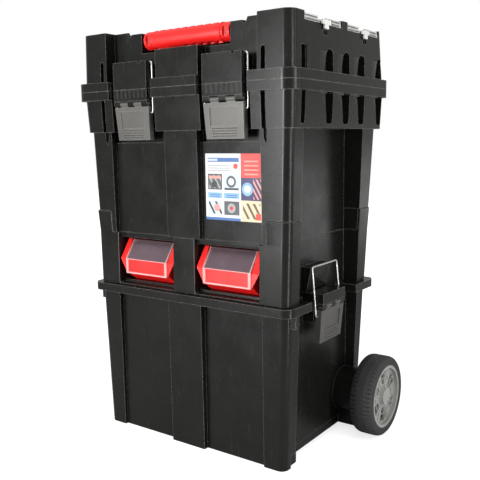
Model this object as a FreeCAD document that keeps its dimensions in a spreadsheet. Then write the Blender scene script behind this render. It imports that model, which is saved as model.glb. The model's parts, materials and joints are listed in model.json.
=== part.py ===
import FreeCAD, Part
import math
import os
import re
import Sketcher

# Rolling stackable tool box: a lidded tool box on a module with two bins on a wheeled tub.
# Millimetres. X is to the right, Y to the back, Z up; the origin is on the floor under the middle.
# "front" and "back" sizes are distances from the origin towards -Y and +Y.

SIZES = [
    ("seat_gap", 0.2, "clearance between stacked modules"),
    ("side_gap", 0.4, "clearance beside a piece that slides or swings"),
    ("pin_gap", 0.05, "radial clearance of a pin in its hole"),
    ("wall", 3.0, "wall of the moulded boxes"),
    ("panel_wall", 2.5, "wall of the trays and bins"),
    ("tub_height", 242.6, "floor to the top of the tub's rim"),
    ("tub_low_half", 174.8, "tub half width at the floor"),
    ("tub_high_half", 183.5, "tub half width under the rim"),
    ("tub_low_front", 145.3, "tub front at the floor"),
    ("tub_high_front", 147.6, "tub front under the rim"),
    ("tub_low_back", 89.6, "tub back at the floor"),
    ("tub_high_back", 98.4, "tub back under the rim"),
    ("corner_radius", 12.0, "outer corner radius of tub, module and tool box"),
    ("tub_floor", 20.0, "underside of the tub above the ground"),
    ("foot_depth", 18.0, "depth of the front foot"),
    ("rim_height", 12.6, "height of the tub's rim"),
    ("rim_half", 191.4, "rim half width"),
    ("rim_front", 157.7, "rim front"),
    ("rim_back", 116.4, "rim back"),
    ("rim_radius", 16.0, "rim corner radius"),
    ("tub_recess", 21.0, "depth of the tub's side recess"),
    ("recess_near", 116.0, "front end of the side recesses"),
    ("recess_far", 67.0, "rear end of the side recesses"),
    ("rim_gap_near", 95.0, "front end of the gap in the tub's rim for a side latch"),
    ("rim_block_near", 46.0, "front end of the rim's rear block"),
    ("tub_pillar_inner", 140.0, "inner edge of the tub's front pillars"),
    ("tub_centre_half", 32.0, "half width of the tub's centre panel"),
    ("tub_centre_proud", 3.0, "how far the tub's centre panel stands out"),
    ("tub_panel_depth", 5.0, "depth of the tub's front recesses"),
    ("module_height", 85.2, "height of the bins module"),
    ("module_low_half", 183.1, "module half width at its bottom"),
    ("module_high_half", 185.2, "module half width at its top"),
    ("module_low_front", 149.7, "module front at its bottom"),
    ("module_high_front", 149.0, "module front at its top"),
    ("module_low_back", 101.8, "module back at its bottom"),
    ("module_high_back", 107.5, "module back at its top"),
    ("side_panel_half", 157.5, "side panels of module and tool box from the middle"),
    ("ear_height", 34.0, "height of the module's corner ears above its top"),
    ("ear_wall", 3.5, "thickness of an ear"),
    ("ear_flare", 2.0, "how far an ear stands proud at its top"),
    ("ear_inner", 150.0, "inner edge of a front ear"),
    ("bay_inner", 21.0, "inner edge of a bin bay"),
    ("bay_outer", 137.0, "outer edge of a bin bay"),
    ("bay_sill", 7.0, "height of a bay's floor above the module's bottom"),
    ("bay_lintel", 8.5, "height of the beam above a bay"),
    ("bay_depth", 190.0, "depth of a bay from the front"),
    ("bin_half", 48.0, "half width of a bin at its top"),
    ("bin_flange_half", 56.0, "half width of the flange round a bin's mouth, at its fold"),
    ("bin_flange_top", 53.0, "half width of that flange at the bin's top"),
    ("bin_flange", 3.0, "thickness of that flange"),
    ("bin_foot_half", 44.5, "half width of a bin at its bottom"),
    ("bin_lip", 17.0, "how far a bin's mouth slopes back from its front wall to its top"),
    ("bin_front_height", 35.0, "height of a bin's front wall"),
    ("bin_front_lean", 13.0, "how far a bin's front wall leans out from its foot"),
    ("bin_foot_front", 136.0, "front of a bin's foot"),
    ("bin_bend_rise", 15.0, "where a bin's front wall turns upright, above its foot"),
    ("bin_lid_inset", 2.7, "gap between a bin's lid and its sides at the top"),
    ("bin_pin_radius", 1.2, "radius of the pins moulded on a bin's lid"),
    ("bin_lid_thickness", 2.2, "thickness of a bin's clear lid"),
    ("bin_apron", 23.0, "height of the clear apron in front of a bin"),
    ("body_height", 222.6, "tool box body, bottom to seam"),
    ("body_low_half", 184.5, "tool box half width at its bottom"),
    ("body_high_half", 190.0, "tool box half width under the skirt"),
    ("body_low_front", 148.0, "tool box front at its bottom"),
    ("body_high_front", 151.0, "tool box front under the skirt"),
    ("body_low_back", 107.0, "tool box back at its bottom"),
    ("body_high_back", 116.0, "tool box back under the skirt"),
    ("skirt_height", 63.0, "skirt bottom to seam"),
    ("skirt_low_half", 194.5, "skirt half width at its bottom"),
    ("skirt_high_half", 197.2, "skirt half width at the seam"),
    ("skirt_low_front", 155.8, "skirt front at its bottom"),
    ("skirt_high_front", 158.8, "skirt front at the seam"),
    ("skirt_low_back", 131.0, "skirt back at its bottom"),
    ("skirt_high_back", 133.0, "skirt back at the seam"),
    ("skirt_radius", 14.0, "corner radius of skirt and lid"),
    ("band_half", 204.3, "rim band half width"),
    ("band_front", 165.3, "rim band front"),
    ("band_back", 137.0, "rim band back"),
    ("band_drop", 13.5, "rim band height on each side of the seam"),
    ("band_radius", 20.0, "corner radius of the rim band"),
    ("panel_depth", 7.5, "depth of the tool box's front recesses"),
    ("front_centre_half", 31.0, "half width of the tool box's centre panel"),
    ("front_pillar_inner", 142.0, "inner edge of the tool box's front pillars"),
    ("shelf_drop", 17.0, "depth of the finger pockets below the skirt"),
    ("pocket_depth", 6.0, "how much deeper the finger pockets are"),
    ("latch_centre", 87.0, "middle of a front latch"),
    ("latch_window", 44.0, "half width of the opening round a front latch"),
    ("latch_hinge_drop", 21.5, "front latch hinge below the seam"),
    ("latch_block_half", 34.0, "half width of a front catch block"),
    ("latch_block_height", 41.0, "height of a front catch block above the seam"),
    ("latch_block_front", 163.0, "front of the catch blocks"),
    ("catch_plate", 8.2, "thickness of a catch block's front plate at the wire"),
    ("lid_height", 89.0, "seam to the top of the lid"),
    ("lid_low_half", 196.4, "lid half width at the seam"),
    ("lid_high_half", 195.0, "lid half width at its top"),
    ("lid_low_front", 157.2, "lid front at the seam"),
    ("lid_high_front", 156.0, "lid front at its top"),
    ("lid_low_back", 133.0, "lid back at the seam"),
    ("lid_high_back", 122.0, "lid back at its top"),
    ("lid_wall", 3.0, "wall of the lid"),
    ("lid_base_depth", 21.0, "how far the lid's front wall lies behind its pillars"),
    ("lid_centre_half", 40.0, "half width of the lid's centre panel"),
    ("lid_centre_height", 55.5, "height of the lid's centre panel above the seam"),
    ("lid_step", 4.0, "how much lower the lid is between its corner blocks"),
    ("groove_inner", 147.5, "inner edge of the grooves in the front pillars"),
    ("groove_width", 7.5, "width of the grooves in the front pillars"),
    ("groove_depth", 9.0, "depth of the grooves in the front pillars"),
    ("groove_rise", 45.5, "top of the grooves above the seam"),
    ("groove_fall", 83.0, "lower end of the grooves below the seam"),
    ("slot_width", 19.0, "width of the slots in the sides of lid and skirt"),
    ("slot_narrow", 11.0, "width of the foremost side slot"),
    ("slot_nose", -127.5, "middle of the foremost side slot, from front to back"),
    ("slot_one", -53.5, "middle of the first wide side slot"),
    ("slot_two", -2.5, "middle of the second wide side slot"),
    ("slot_three", 48.5, "middle of the third wide side slot"),
    ("slot_four", 113.0, "middle of the rear side slot"),
    ("slot_depth", 11.0, "depth of the side slots"),
    ("slot_rise", 46.0, "top of the side slots above the seam"),
    ("slot_fall", 57.0, "bottom of the side slots below the seam"),
    ("handle_recess_half", 84.0, "half width of the carry handle's recess"),
    ("handle_recess_depth", 34.0, "depth of the carry handle's recess below the lid's top"),
    ("handle_recess_back", 76.0, "rear end of the carry handle's recess, in front of the middle"),
    ("grip_half", 80.5, "half length of the red grip"),
    ("grip_radius", 14.5, "radius of the red grip"),
    ("grip_ring", 0.8, "depth of the grip's end rings"),
    ("grip_cap", 15.0, "length of the grip's end caps"),
    ("grip_front", 136.5, "front of the red grip"),
    ("grip_drop", 0.5, "top of the red grip below the lid's top"),
    ("handle_pivot", 91.0, "carry handle's pivot in front of the middle"),
    ("handle_arm_radius", 7.0, "half height of the carry handle's arms"),
    ("handle_arm", 9.0, "thickness of the carry handle's arms"),
    ("handle_pin_radius", 3.0, "radius of the carry handle's pins"),
    ("organiser_outer", 193.0, "outer edge of the organiser lids"),
    ("organiser_inner", 96.0, "inner edge of the organiser wells"),
    ("organiser_front", 121.0, "front of the front organiser"),
    ("organiser_length", 104.0, "length of an organiser, front to back"),
    ("organiser_ledge", 2.0, "ledge round an organiser well that its lid rests on"),
    ("organiser_post", 20.0, "post between the two organisers"),
    ("organiser_depth", 30.0, "depth of the organiser wells"),
    ("organiser_lid_thickness", 5.0, "thickness of the organisers' clear lids"),
    ("organiser_sink", 11.0, "underside of the clear lids below the lid's top edge"),
    ("clip_pin_radius", 1.0, "radius of the pins moulded on a clip"),
    ("clip_width", 23.0, "width of an organiser clip"),
    ("clip_length", 12.0, "height of an organiser clip"),
    ("clip_thickness", 3.0, "thickness of an organiser clip"),
    ("hinge_pin_radius", 1.5, "radius of the thin steel hinge pins"),
    ("knuckle_radius", 4.0, "radius of the hinge knuckles"),
    ("lid_pin_radius", 2.2, "radius of the lid's hinge pins"),
    ("lid_knuckle_radius", 5.0, "radius of the lid's hinge knuckles"),
    ("lid_hinge_back", 141.0, "lid hinge axis behind the middle"),
    ("lid_hinge_inner", 112.0, "inner end of the lid's hinges"),
    ("lid_hinge_length", 40.0, "length of each lid hinge"),
    ("lever_half", 33.5, "half width of a latch lever"),
    ("lever_length", 54.5, "length of a latch lever below its hinge"),
    ("lever_proud", 2.5, "face of a lever in front of its hinge"),
    ("lever_taper", 1.0, "how much a lever narrows on each side of its mean width"),
    ("lever_relief", 1.6, "depth of the panel and grooves in a lever's face"),
    ("lever_groove_pitch", 3.6, "spacing of the grooves at a lever's foot"),
    ("lever_thickness", 9.5, "thickness of a latch lever"),
    ("lever_top", 4.6, "top edge of a lever's plate below its hinge"),
    ("lever_tilt", 4.9, "how far a lever leans inward, in degrees"),
    ("tooth_width", 13.0, "width of a latch hinge tooth"),
    ("tooth_pitch", 28.0, "spacing of the latch hinge teeth"),
    ("wire_radius", 1.6, "radius of the bail wire"),
    ("wire_bend", 3.8, "bend radius of the bail wire"),
    ("bail_half", 37.5, "half width of a bail"),
    ("bail_grip", 9.0, "how far a bail's feet reach into the lever"),
    ("bail_seat", 4.5, "bail pivot behind the lever's hinge"),
    ("bail_pivot", 14.5, "bail pivot below the lever's hinge"),
    ("front_bail_length", 75.0, "bail pivot to top bar, front latches"),
    ("side_bail_length", 73.5, "bail pivot to top bar, side latches"),
    ("side_bail_lean", 5.2, "how far a side bail leans inward, in degrees"),
    ("side_latch_centre", 39.0, "middle of the side latches, in front of the middle"),
    ("side_latch_half", 34.0, "half width of a side latch's hinge block"),
    ("side_latch_front", 197.5, "outer face of a side latch's hinge block"),
    ("side_catch_height", 44.0, "top of the side catch above the module's bottom"),
    ("side_catch_half", 31.0, "half width of a side catch"),
    ("side_block_rise", 7.5, "top of a side latch's hinge block above the tub"),
    ("side_catch_reach", 21.0, "how far the side catch stands out of the recess"),
    ("tray_height", 46.0, "height of the tool tray"),
    ("tray_spine", 3.0, "thickness of the tray's middle wall"),
    ("label_inner", 39.0, "left edge of the label"),
    ("label_width", 100.0, "width of the label"),
    ("label_height", 96.0, "height of the label"),
    ("label_low", 30.0, "label above the tool box's bottom"),
    ("label_thickness", 0.4, "thickness of the label"),
    ("wheel_radius", 63.8, "radius of a wheel"),
    ("wheel_width", 36.7, "width of a tyre"),
    ("wheel_outer", 241.0, "outer face of a wheel from the middle"),
    ("wheel_back", 59.0, "axle behind the middle"),
    ("tyre_shoulder", 7.0, "rounding of a tyre's shoulders"),
    ("rim_edge_radius", 49.7, "radius of a wheel rim"),
    ("rim_edge", 4.5, "radial thickness of the rim's edge"),
    ("rim_dish", 6.0, "how far the rim's web lies inside its edge"),
    ("rim_web", 5.0, "thickness of the rim's web"),
    ("hub_radius", 15.0, "radius of a wheel hub"),
    ("axle_radius", 6.0, "radius of the axle"),
    ("axle_gap", 0.08, "radial clearance of the hubs on the axle"),
    ("pocket_count", 6, "number of pockets in a wheel rim"),
    ("housing_outer", 200.0, "outer face of the axle housings"),
    ("housing_radius", 36.0, "radius of the axle housings"),
    ("washer_radius", 11.0, "radius of the axle washers"),
    ("washer_thickness", 2.0, "thickness of the axle washers"),
    ("pocket_half", 11.0, "half width of a rim pocket at its outer end"),
    ("cap_radius", 13.0, "radius of the hub caps"),
    ("cap_thickness", 3.0, "thickness of the hub caps"),
    ("tube_radius", 11.0, "radius of the handle's outer tubes"),
    ("tube_wall", 1.5, "wall of the handle's tubes"),
    ("tube_half", 90.0, "handle tubes from the middle"),
    ("tube_back", 152.0, "handle tubes behind the middle"),
    ("tube_low", 40.0, "lower end of the outer tubes"),
    ("tube_high", 490.0, "upper end of the outer tubes"),
    ("inner_tube_radius", 8.0, "radius of the handle's inner tubes"),
    ("inner_tube_low", 60.0, "lower end of the inner tubes when pushed in"),
    ("collar_radius", 13.0, "radius of the collars on the outer tubes"),
    ("collar_height", 18.0, "height of the collars"),
    ("pull_grip_low", 505.0, "underside of the pull handle's grip"),
    ("pull_grip_height", 30.0, "height of the pull handle's grip"),
    ("pull_grip_depth", 22.0, "depth of the pull handle's grip"),
    ("pull_grip_overhang", 14.0, "grip beyond the middle of a tube"),
    ("button_half", 16.0, "half width of the release button"),
    ("button_travel", 4.0, "travel of the release button"),
    ("bracket_waist", 125.0, "rear face of a bracket between its tubes"),
    ("screw_across", 50.0, "bracket screws from the middle"),
    ("bracket_height", 34.0, "height of the tube brackets"),
    ("bracket_back", 165.3, "rear face of the tube brackets"),
    ("low_bracket_level", 70.0, "underside of the lower tube bracket"),
    ("upper_bracket_drop", 16.6, "top of the upper tube bracket below the tub's top"),
    ("gusset_near", 137.0, "middle of the gusset under the tub's rim, in front of the middle"),
    ("gusset_height", 18.0, "height of the gusset under the tub's rim"),
    ("bin_headroom", 3.3, "room above a bin in its bay"),
    ("screw_head_radius", 5.0, "radius of a bracket screw's head"),
    ("screw_radius", 2.2, "radius of a bracket screw"),
    ("screw_length", 36.0, "length of a bracket screw"),
]

doc = FreeCAD.newDocument("ToolBoxSystem")
sheet = doc.addObject("Spreadsheet::Sheet", "Sizes")
for row, (alias, value, meaning) in enumerate(SIZES, 1):
    sheet.set(f"A{row}", meaning)
    sheet.set(f"B{row}", str(value))
    sheet.setAlias(f"B{row}", alias)
doc.recompute()
ALIASES = {alias for alias, value, meaning in SIZES}

# Levels, worked out from the heights
TUB_TOP = "(tub_height)"
MODULE_LOW = "(tub_height + seat_gap)"
MODULE_TOP = "(tub_height + seat_gap + module_height)"
BODY_LOW = "(tub_height + 2 * seat_gap + module_height)"
SEAM = "(tub_height + 2 * seat_gap + module_height + body_height)"
LID_LOW = "(tub_height + 3 * seat_gap + module_height + body_height)"
LID_TOP = "(tub_height + 3 * seat_gap + module_height + body_height + lid_height)"
SKIRT_LOW = f"({SEAM} - skirt_height)"


def bind(text):
    """Writes the sheet's name before every alias in an expression."""
    return re.sub(
        r"[a-z][a-z_]*",
        lambda word: "Sizes." + word.group(0) if word.group(0) in ALIASES else word.group(0),
        str(text),
    )


def number(text):
    """The value of an expression with the sheet's present sizes."""
    return float(sheet.evalExpression(str(text)))


def box(name, left, right, near, far, low, high):
    """A block between two values on each axis."""
    solid = doc.addObject("Part::Box", name)
    solid.setExpression("Length", bind(f"({right}) - ({left})"))
    solid.setExpression("Width", bind(f"({far}) - ({near})"))
    solid.setExpression("Height", bind(f"({high}) - ({low})"))
    solid.setExpression("Placement.Base.x", bind(left))
    solid.setExpression("Placement.Base.y", bind(near))
    solid.setExpression("Placement.Base.z", bind(low))
    return solid


TURNS = {
    "x": FreeCAD.Rotation(FreeCAD.Vector(0, 1, 0), 90),
    "y": FreeCAD.Rotation(FreeCAD.Vector(1, 0, 0), -90),
    "z": FreeCAD.Rotation(),
}


def rod(name, axis, x, y, z, radius, length):
    """A cylinder that starts at a point and runs along +X, +Y or +Z."""
    solid = doc.addObject("Part::Cylinder", name)
    solid.Placement = FreeCAD.Placement(FreeCAD.Vector(), TURNS[axis])
    solid.setExpression("Radius", bind(radius))
    solid.setExpression("Height", bind(length))
    solid.setExpression("Placement.Base.x", bind(x))
    solid.setExpression("Placement.Base.y", bind(y))
    solid.setExpression("Placement.Base.z", bind(z))
    return solid


def fuse(name, solids):
    """One solid of several."""
    whole = doc.addObject("Part::MultiFuse", name)
    whole.Shapes = solids
    return whole


def group(name, solids):
    """Several solids that stay apart, such as a pair of pins."""
    whole = doc.addObject("Part::Compound", name)
    whole.Links = solids
    return whole


def cut(name, base, tools):
    """A solid without its cutting tools."""
    tool = tools[0] if len(tools) == 1 else fuse(name + "_tools", tools)
    result = doc.addObject("Part::Cut", name)
    result.Base = base
    result.Tool = tool
    return result


def common(name, first, second):
    """What two solids share."""
    result = doc.addObject("Part::Common", name)
    result.Base = first
    result.Tool = second
    return result


def mirrored(solid, name=None):
    """The copy of a solid on the other side of the middle."""
    copy = doc.addObject("Part::Mirroring", name or solid.Name + "_mirrored")
    copy.Source = solid
    copy.Normal = FreeCAD.Vector(1, 0, 0)
    return copy


def both(solids):
    """Solids together with their mirror copies."""
    return solids + [mirrored(solid) for solid in solids]


def placed(solid, name, x="0", y="0", z="0", rotation=None):
    """A wrapper with a place and a turn of its own; the place follows the sheet."""
    copy = doc.addObject("Part::Compound", name)
    copy.Links = [solid]
    copy.Placement = FreeCAD.Placement(FreeCAD.Vector(), rotation or FreeCAD.Rotation())
    copy.setExpression("Placement.Base.x", bind(x))
    copy.setExpression("Placement.Base.y", bind(y))
    copy.setExpression("Placement.Base.z", bind(z))
    return copy


def sketch(body, role, name, offset="0"):
    """A sketch on one of a body's own origin planes, moved along the plane's normal."""
    plane = next(item for item in body.Origin.OriginFeatures if item.Role == role)
    result = body.newObject("Sketcher::SketchObject", name)
    result.AttachmentSupport = [(plane, "")]
    result.MapMode = "FlatFace"
    result.setExpression("AttachmentOffset.Base.z", bind(offset))
    return result


def dimension(drawing, constraint, text):
    """A constraint whose value follows the sheet."""
    index = drawing.addConstraint(constraint)
    drawing.setExpression(f"Constraints[{index}]", bind(text))


def polygon(drawing, points):
    """A closed outline of straight lines; each point is a pair of expressions."""
    places = [FreeCAD.Vector(number(x), number(y), 0) for x, y in points]
    count = len(places)
    for index in range(count):
        drawing.addGeometry(Part.LineSegment(places[index], places[(index + 1) % count]), False)
    for index in range(count):
        drawing.addConstraint(Sketcher.Constraint("Coincident", index, 2, (index + 1) % count, 1))
    for index, (x, y) in enumerate(points):
        across = Sketcher.Constraint("DistanceX", -1, 1, index, 1, places[index].x)
        along = Sketcher.Constraint("DistanceY", -1, 1, index, 1, places[index].y)
        dimension(drawing, across, x)
        dimension(drawing, along, y)


def rounded_outline(drawing, left, right, near, far, radius):
    """A rectangle with equal round corners."""
    west, east, south, north, bend = (number(text) for text in (left, right, near, far, radius))
    vector = FreeCAD.Vector
    sides = [
        (vector(west + bend, south, 0), vector(east - bend, south, 0)),
        (vector(east, south + bend, 0), vector(east, north - bend, 0)),
        (vector(east - bend, north, 0), vector(west + bend, north, 0)),
        (vector(west, north - bend, 0), vector(west, south + bend, 0)),
    ]
    centres = [
        vector(east - bend, south + bend, 0),
        vector(east - bend, north - bend, 0),
        vector(west + bend, north - bend, 0),
        vector(west + bend, south + bend, 0),
    ]
    for start, end in sides:
        drawing.addGeometry(Part.LineSegment(start, end), False)
    for index, centre in enumerate(centres):
        circle = Part.Circle(centre, vector(0, 0, 1), bend)
        begin = math.radians(90 * (index - 1))
        drawing.addGeometry(Part.ArcOfCircle(circle, begin, begin + math.pi / 2), False)
    for index in range(4):
        drawing.addConstraint(Sketcher.Constraint("Tangent", index, 2, 4 + index, 1))
        drawing.addConstraint(Sketcher.Constraint("Tangent", 4 + index, 2, (index + 1) % 4, 1))
    for index in (0, 2):
        drawing.addConstraint(Sketcher.Constraint("Horizontal", index))
        drawing.addConstraint(Sketcher.Constraint("Vertical", index + 1))
    for index in (5, 6, 7):
        drawing.addConstraint(Sketcher.Constraint("Equal", 4, index))
    dimension(drawing, Sketcher.Constraint("Radius", 4, bend), radius)
    dimension(drawing, Sketcher.Constraint("DistanceX", -1, 1, 3, 1, west), left)
    dimension(drawing, Sketcher.Constraint("DistanceX", -1, 1, 1, 1, east), right)
    dimension(drawing, Sketcher.Constraint("DistanceY", -1, 1, 0, 1, south), near)
    dimension(drawing, Sketcher.Constraint("DistanceY", -1, 1, 2, 1, north), far)


def shell_block(name, low, high, low_sizes, high_sizes, radius):
    """A tapered block with round upright edges; the sizes are half width, front and back."""
    body = doc.addObject("PartDesign::Body", name)
    ends = []
    for label, level, (half, front, back) in (("low", low, low_sizes), ("high", high, high_sizes)):
        drawing = sketch(body, "XY_Plane", f"{name}_{label}", level)
        rounded_outline(drawing, f"-({half})", half, f"-({front})", back, radius)
        ends.append(drawing)
    loft = body.newObject("PartDesign::AdditiveLoft", name + "_loft")
    loft.Profile = ends[0]
    loft.Sections = [ends[1]]
    loft.Ruled = True
    return body


def pad(name, role, points, start, length):
    """A prism over a polygon: from start along the normal of the body's plane."""
    body = doc.addObject("PartDesign::Body", name)
    drawing = sketch(body, role, name + "_outline", start)
    polygon(drawing, points)
    feature = body.newObject("PartDesign::Pad", name + "_pad")
    feature.Profile = drawing
    feature.setExpression("Length", bind(length))
    return body


def rounded_pad(name, role, left, right, near, far, radius, start, length):
    """A prism over a rectangle with round corners."""
    body = doc.addObject("PartDesign::Body", name)
    drawing = sketch(body, role, name + "_outline", start)
    rounded_outline(drawing, left, right, near, far, radius)
    feature = body.newObject("PartDesign::Pad", name + "_pad")
    feature.Profile = drawing
    feature.setExpression("Length", bind(length))
    return body


def turned(name, points):
    """A body of revolution about its own X axis; the outline's points are (along, radius)."""
    body = doc.addObject("PartDesign::Body", name)
    drawing = sketch(body, "XY_Plane", name + "_outline")
    polygon(drawing, points)
    feature = body.newObject("PartDesign::Revolution", name + "_revolution")
    feature.Profile = drawing
    feature.ReferenceAxis = (drawing, ["H_Axis"])
    feature.Angle = 360
    return body


SUBPARTS = []


def keep(name, solid):
    """Registers a finished sub-part under the name of its node."""
    solid.Label = name
    SUBPARTS.append(solid)
    return solid


def between(low, high, share):
    """A size that changes evenly from one end of a tapered block to the other."""
    return f"(({low}) + (({high}) - ({low})) * ({share}))"


# Latch hinges, shared by the front and side latches
KNUCKLE_ROOM = "(knuckle_radius + 0.5)"
LEVER_TOOTH = "(tooth_pitch - tooth_width - 2 * side_gap)"


def hinge_teeth(name, axis, across, out, level):
    """Three fixed teeth of a latch hinge that hang from the block above them."""
    teeth = []
    for index, step in enumerate((-1, 0, 1)):
        start = f"({across}) + {step} * tooth_pitch - tooth_width / 2"
        end = f"({across}) + {step} * tooth_pitch + tooth_width / 2"
        label = f"{name}_tooth_{'abc'[index]}"
        if axis == "x":
            teeth.append(rod(label, "x", start, out, level, "knuckle_radius", "tooth_width"))
            teeth.append(box(label + "_root", start, end, f"({out}) - knuckle_radius",
                             f"({out}) + knuckle_radius", level, f"({level}) + {KNUCKLE_ROOM} + 1"))
        else:
            teeth.append(rod(label, "y", out, start, level, "knuckle_radius", "tooth_width"))
            teeth.append(box(label + "_root", f"({out}) - knuckle_radius", f"({out}) + knuckle_radius",
                             start, end, level, f"({level}) + {KNUCKLE_ROOM} + 1"))
    return teeth


# Tub

TUB_RIM_LOW = f"({TUB_TOP} - rim_height)"
TUB_PANEL = "(tub_high_half - tub_recess)"
SIDE_HINGE_OUT = f"(side_latch_front - {KNUCKLE_ROOM})"
SIDE_HINGE_LEVEL = TUB_RIM_LOW
AXLE_BORE = "axle_radius + pin_gap"

tub_outer = shell_block("tub_outer", "0", TUB_TOP, ("tub_low_half", "tub_low_front", "tub_low_back"),
                        ("tub_high_half", "tub_high_front", "tub_high_back"), "corner_radius")
tub_rim = rounded_pad("tub_rim", "XY_Plane", "-rim_half", "rim_half", "-rim_front", "rim_back",
                      "rim_radius", TUB_RIM_LOW, "rim_height")
tub_front_recess = box("tub_front_recess", "tub_centre_half", "tub_pillar_inner", "-rim_front - 1",
                       "-(tub_low_front - tub_panel_depth)", "-1", TUB_RIM_LOW)
tub_side_recess = box("tub_side_recess", TUB_PANEL, "rim_half + 1", "-recess_near", "recess_far",
                      "-1", TUB_RIM_LOW)
tub_rim_gap = box("tub_rim_gap", TUB_PANEL, "rim_half + 1", "-rim_gap_near", "rim_block_near",
                  f"{TUB_RIM_LOW} - 1", f"{TUB_TOP} + 1")
tub_underside = box("tub_underside", "-rim_half", "rim_half", "-(tub_low_front - foot_depth)",
                    "rim_back", "-1", "tub_floor")
tub_foot_hollow = box("tub_foot_hollow", "-(tub_low_half - 2 * wall)", "tub_low_half - 2 * wall",
                      "-(tub_low_front - tub_panel_depth - wall)", "-(tub_low_front - foot_depth + wall)",
                      "-1", "tub_floor")
tub_shape = cut("tub_shape", fuse("tub_blocks", [tub_outer, tub_rim]),
                both([tub_front_recess, tub_side_recess, tub_rim_gap]) + [tub_underside, tub_foot_hollow])

tub_cavity_block = shell_block(
    "tub_cavity_block", "tub_floor + wall", f"{TUB_TOP} + 1",
    ("tub_low_half - wall", "tub_low_front - tub_panel_depth - wall", "tub_low_back - wall"),
    ("tub_high_half - wall", "tub_low_front - tub_panel_depth - wall", "tub_high_back - wall"),
    "corner_radius - wall")
tub_cavity_side = box("tub_cavity_side", f"{TUB_PANEL} - wall", "rim_half", "-recess_near - wall",
                      "recess_far + wall", "0", f"{TUB_TOP} + 2")
tub_cavity = cut("tub_cavity", tub_cavity_block, both([tub_cavity_side]))

housing = rod("housing", "x", f"{TUB_PANEL} - wall", "wheel_back", "wheel_radius", "housing_radius",
              f"housing_outer - {TUB_PANEL} + wall")
axle_tunnel = rod("axle_tunnel", "x", f"-{TUB_PANEL}", "wheel_back", "wheel_radius",
                  "axle_radius + 2 * wall", f"2 * {TUB_PANEL}")
axle_foot = box("axle_foot", f"-{TUB_PANEL}", TUB_PANEL, "wheel_back - wall / 2", "wheel_back + wall / 2",
                "tub_floor + wall / 2", "wheel_radius")
tub_centre_panel = pad(
    "tub_centre_panel", "YZ_Plane",
    [("-tub_low_front - tub_centre_proud", "0"), ("-tub_high_front - tub_centre_proud", TUB_RIM_LOW),
     ("-tub_high_front + 2 * wall", TUB_RIM_LOW), ("-tub_low_front + 2 * wall", "0")],
    "-tub_centre_half", "2 * tub_centre_half")
side_latch_block = box("side_latch_block", f"{TUB_PANEL} - wall", "side_latch_front",
                       "-side_latch_centre - side_latch_half", "-side_latch_centre + side_latch_half",
                       f"{SIDE_HINGE_LEVEL} + {KNUCKLE_ROOM}", f"{TUB_TOP} + side_block_rise")
side_latch_web = box("side_latch_web", f"{TUB_PANEL} - wall", "side_latch_front - 4 * knuckle_radius",
                     "-side_latch_centre - side_latch_half", "-side_latch_centre + side_latch_half",
                     f"{SIDE_HINGE_LEVEL} - 6 * knuckle_radius", TUB_TOP)
gusset = box("gusset", "tub_high_half - 2 * wall", "rim_half - 1", "-gusset_near - wall / 2",
             "-gusset_near + wall / 2", f"{TUB_RIM_LOW} - gusset_height", f"{TUB_RIM_LOW} + 1")
tub_sides = [housing, side_latch_block, side_latch_web, gusset]
tub_sides += hinge_teeth("side_hinge", "y", "-side_latch_centre", SIDE_HINGE_OUT, SIDE_HINGE_LEVEL)
tub_hollow = cut("tub_hollow", tub_shape, [tub_cavity])
tub_whole = fuse("tub_whole", [tub_hollow, axle_tunnel, axle_foot, tub_centre_panel] + both(tub_sides))

axle_bore = rod("axle_bore", "x", "-housing_outer - 1", "wheel_back", "wheel_radius", AXLE_BORE,
                "2 * housing_outer + 2")
side_pin_bore = rod("side_pin_bore", "y", SIDE_HINGE_OUT, "-side_latch_centre - side_latch_half - 1",
                    SIDE_HINGE_LEVEL, "hinge_pin_radius + pin_gap", "2 * side_latch_half + 2")

UPPER_BRACKET_LOW = f"({TUB_TOP} - upper_bracket_drop - bracket_height)"
SCREW_LEVELS = ["low_bracket_level + bracket_height / 2", f"{UPPER_BRACKET_LOW} + bracket_height / 2"]
screw_holes = [
    rod(f"screw_hole_{'ab'[index]}", "y", "screw_across", "bracket_waist - screw_length - 1", level,
        "screw_radius + pin_gap", "screw_length + 2")
    for index, level in enumerate(SCREW_LEVELS)
]
keep("tub", cut("tub_solid", tub_whole, [axle_bore] + both([side_pin_bore] + screw_holes)))

# Pull handle on the tub's back

def tub_back_at(level):
    """The tub's back face at a level."""
    return between("tub_low_back", "tub_high_back", f"({level}) / {TUB_TOP}")


def tube_bracket(name, low):
    """A bracket that follows the tub's back face and holds both outer tubes."""
    high = f"({low} + bracket_height)"
    block = pad(name + "_block", "YZ_Plane",
                [(tub_back_at(low), low), ("bracket_back", low), ("bracket_back", high),
                 (tub_back_at(high), high)],
                "-tube_half - tube_radius - wall", "2 * (tube_half + tube_radius + wall)")
    waist = box(name + "_waist", "-tube_half + tube_radius + 2 * wall", "tube_half - tube_radius - 2 * wall",
                "bracket_waist", "bracket_back + 1", f"{low} - 1", f"{high} + 1")
    bore = rod(name + "_bore", "z", "tube_half", "tube_back", f"{low} - 1", "tube_radius + pin_gap",
               "bracket_height + 2")
    hole = rod(name + "_hole", "y", "screw_across", "bracket_waist - screw_length - 1",
               f"{low} + bracket_height / 2", "screw_radius + pin_gap", "screw_length + 2")
    keep(name, cut(name + "_solid", block, [waist] + both([bore, hole])))


tube_bracket("lower_tube_bracket", "low_bracket_level")
tube_bracket("upper_tube_bracket", UPPER_BRACKET_LOW)

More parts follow.
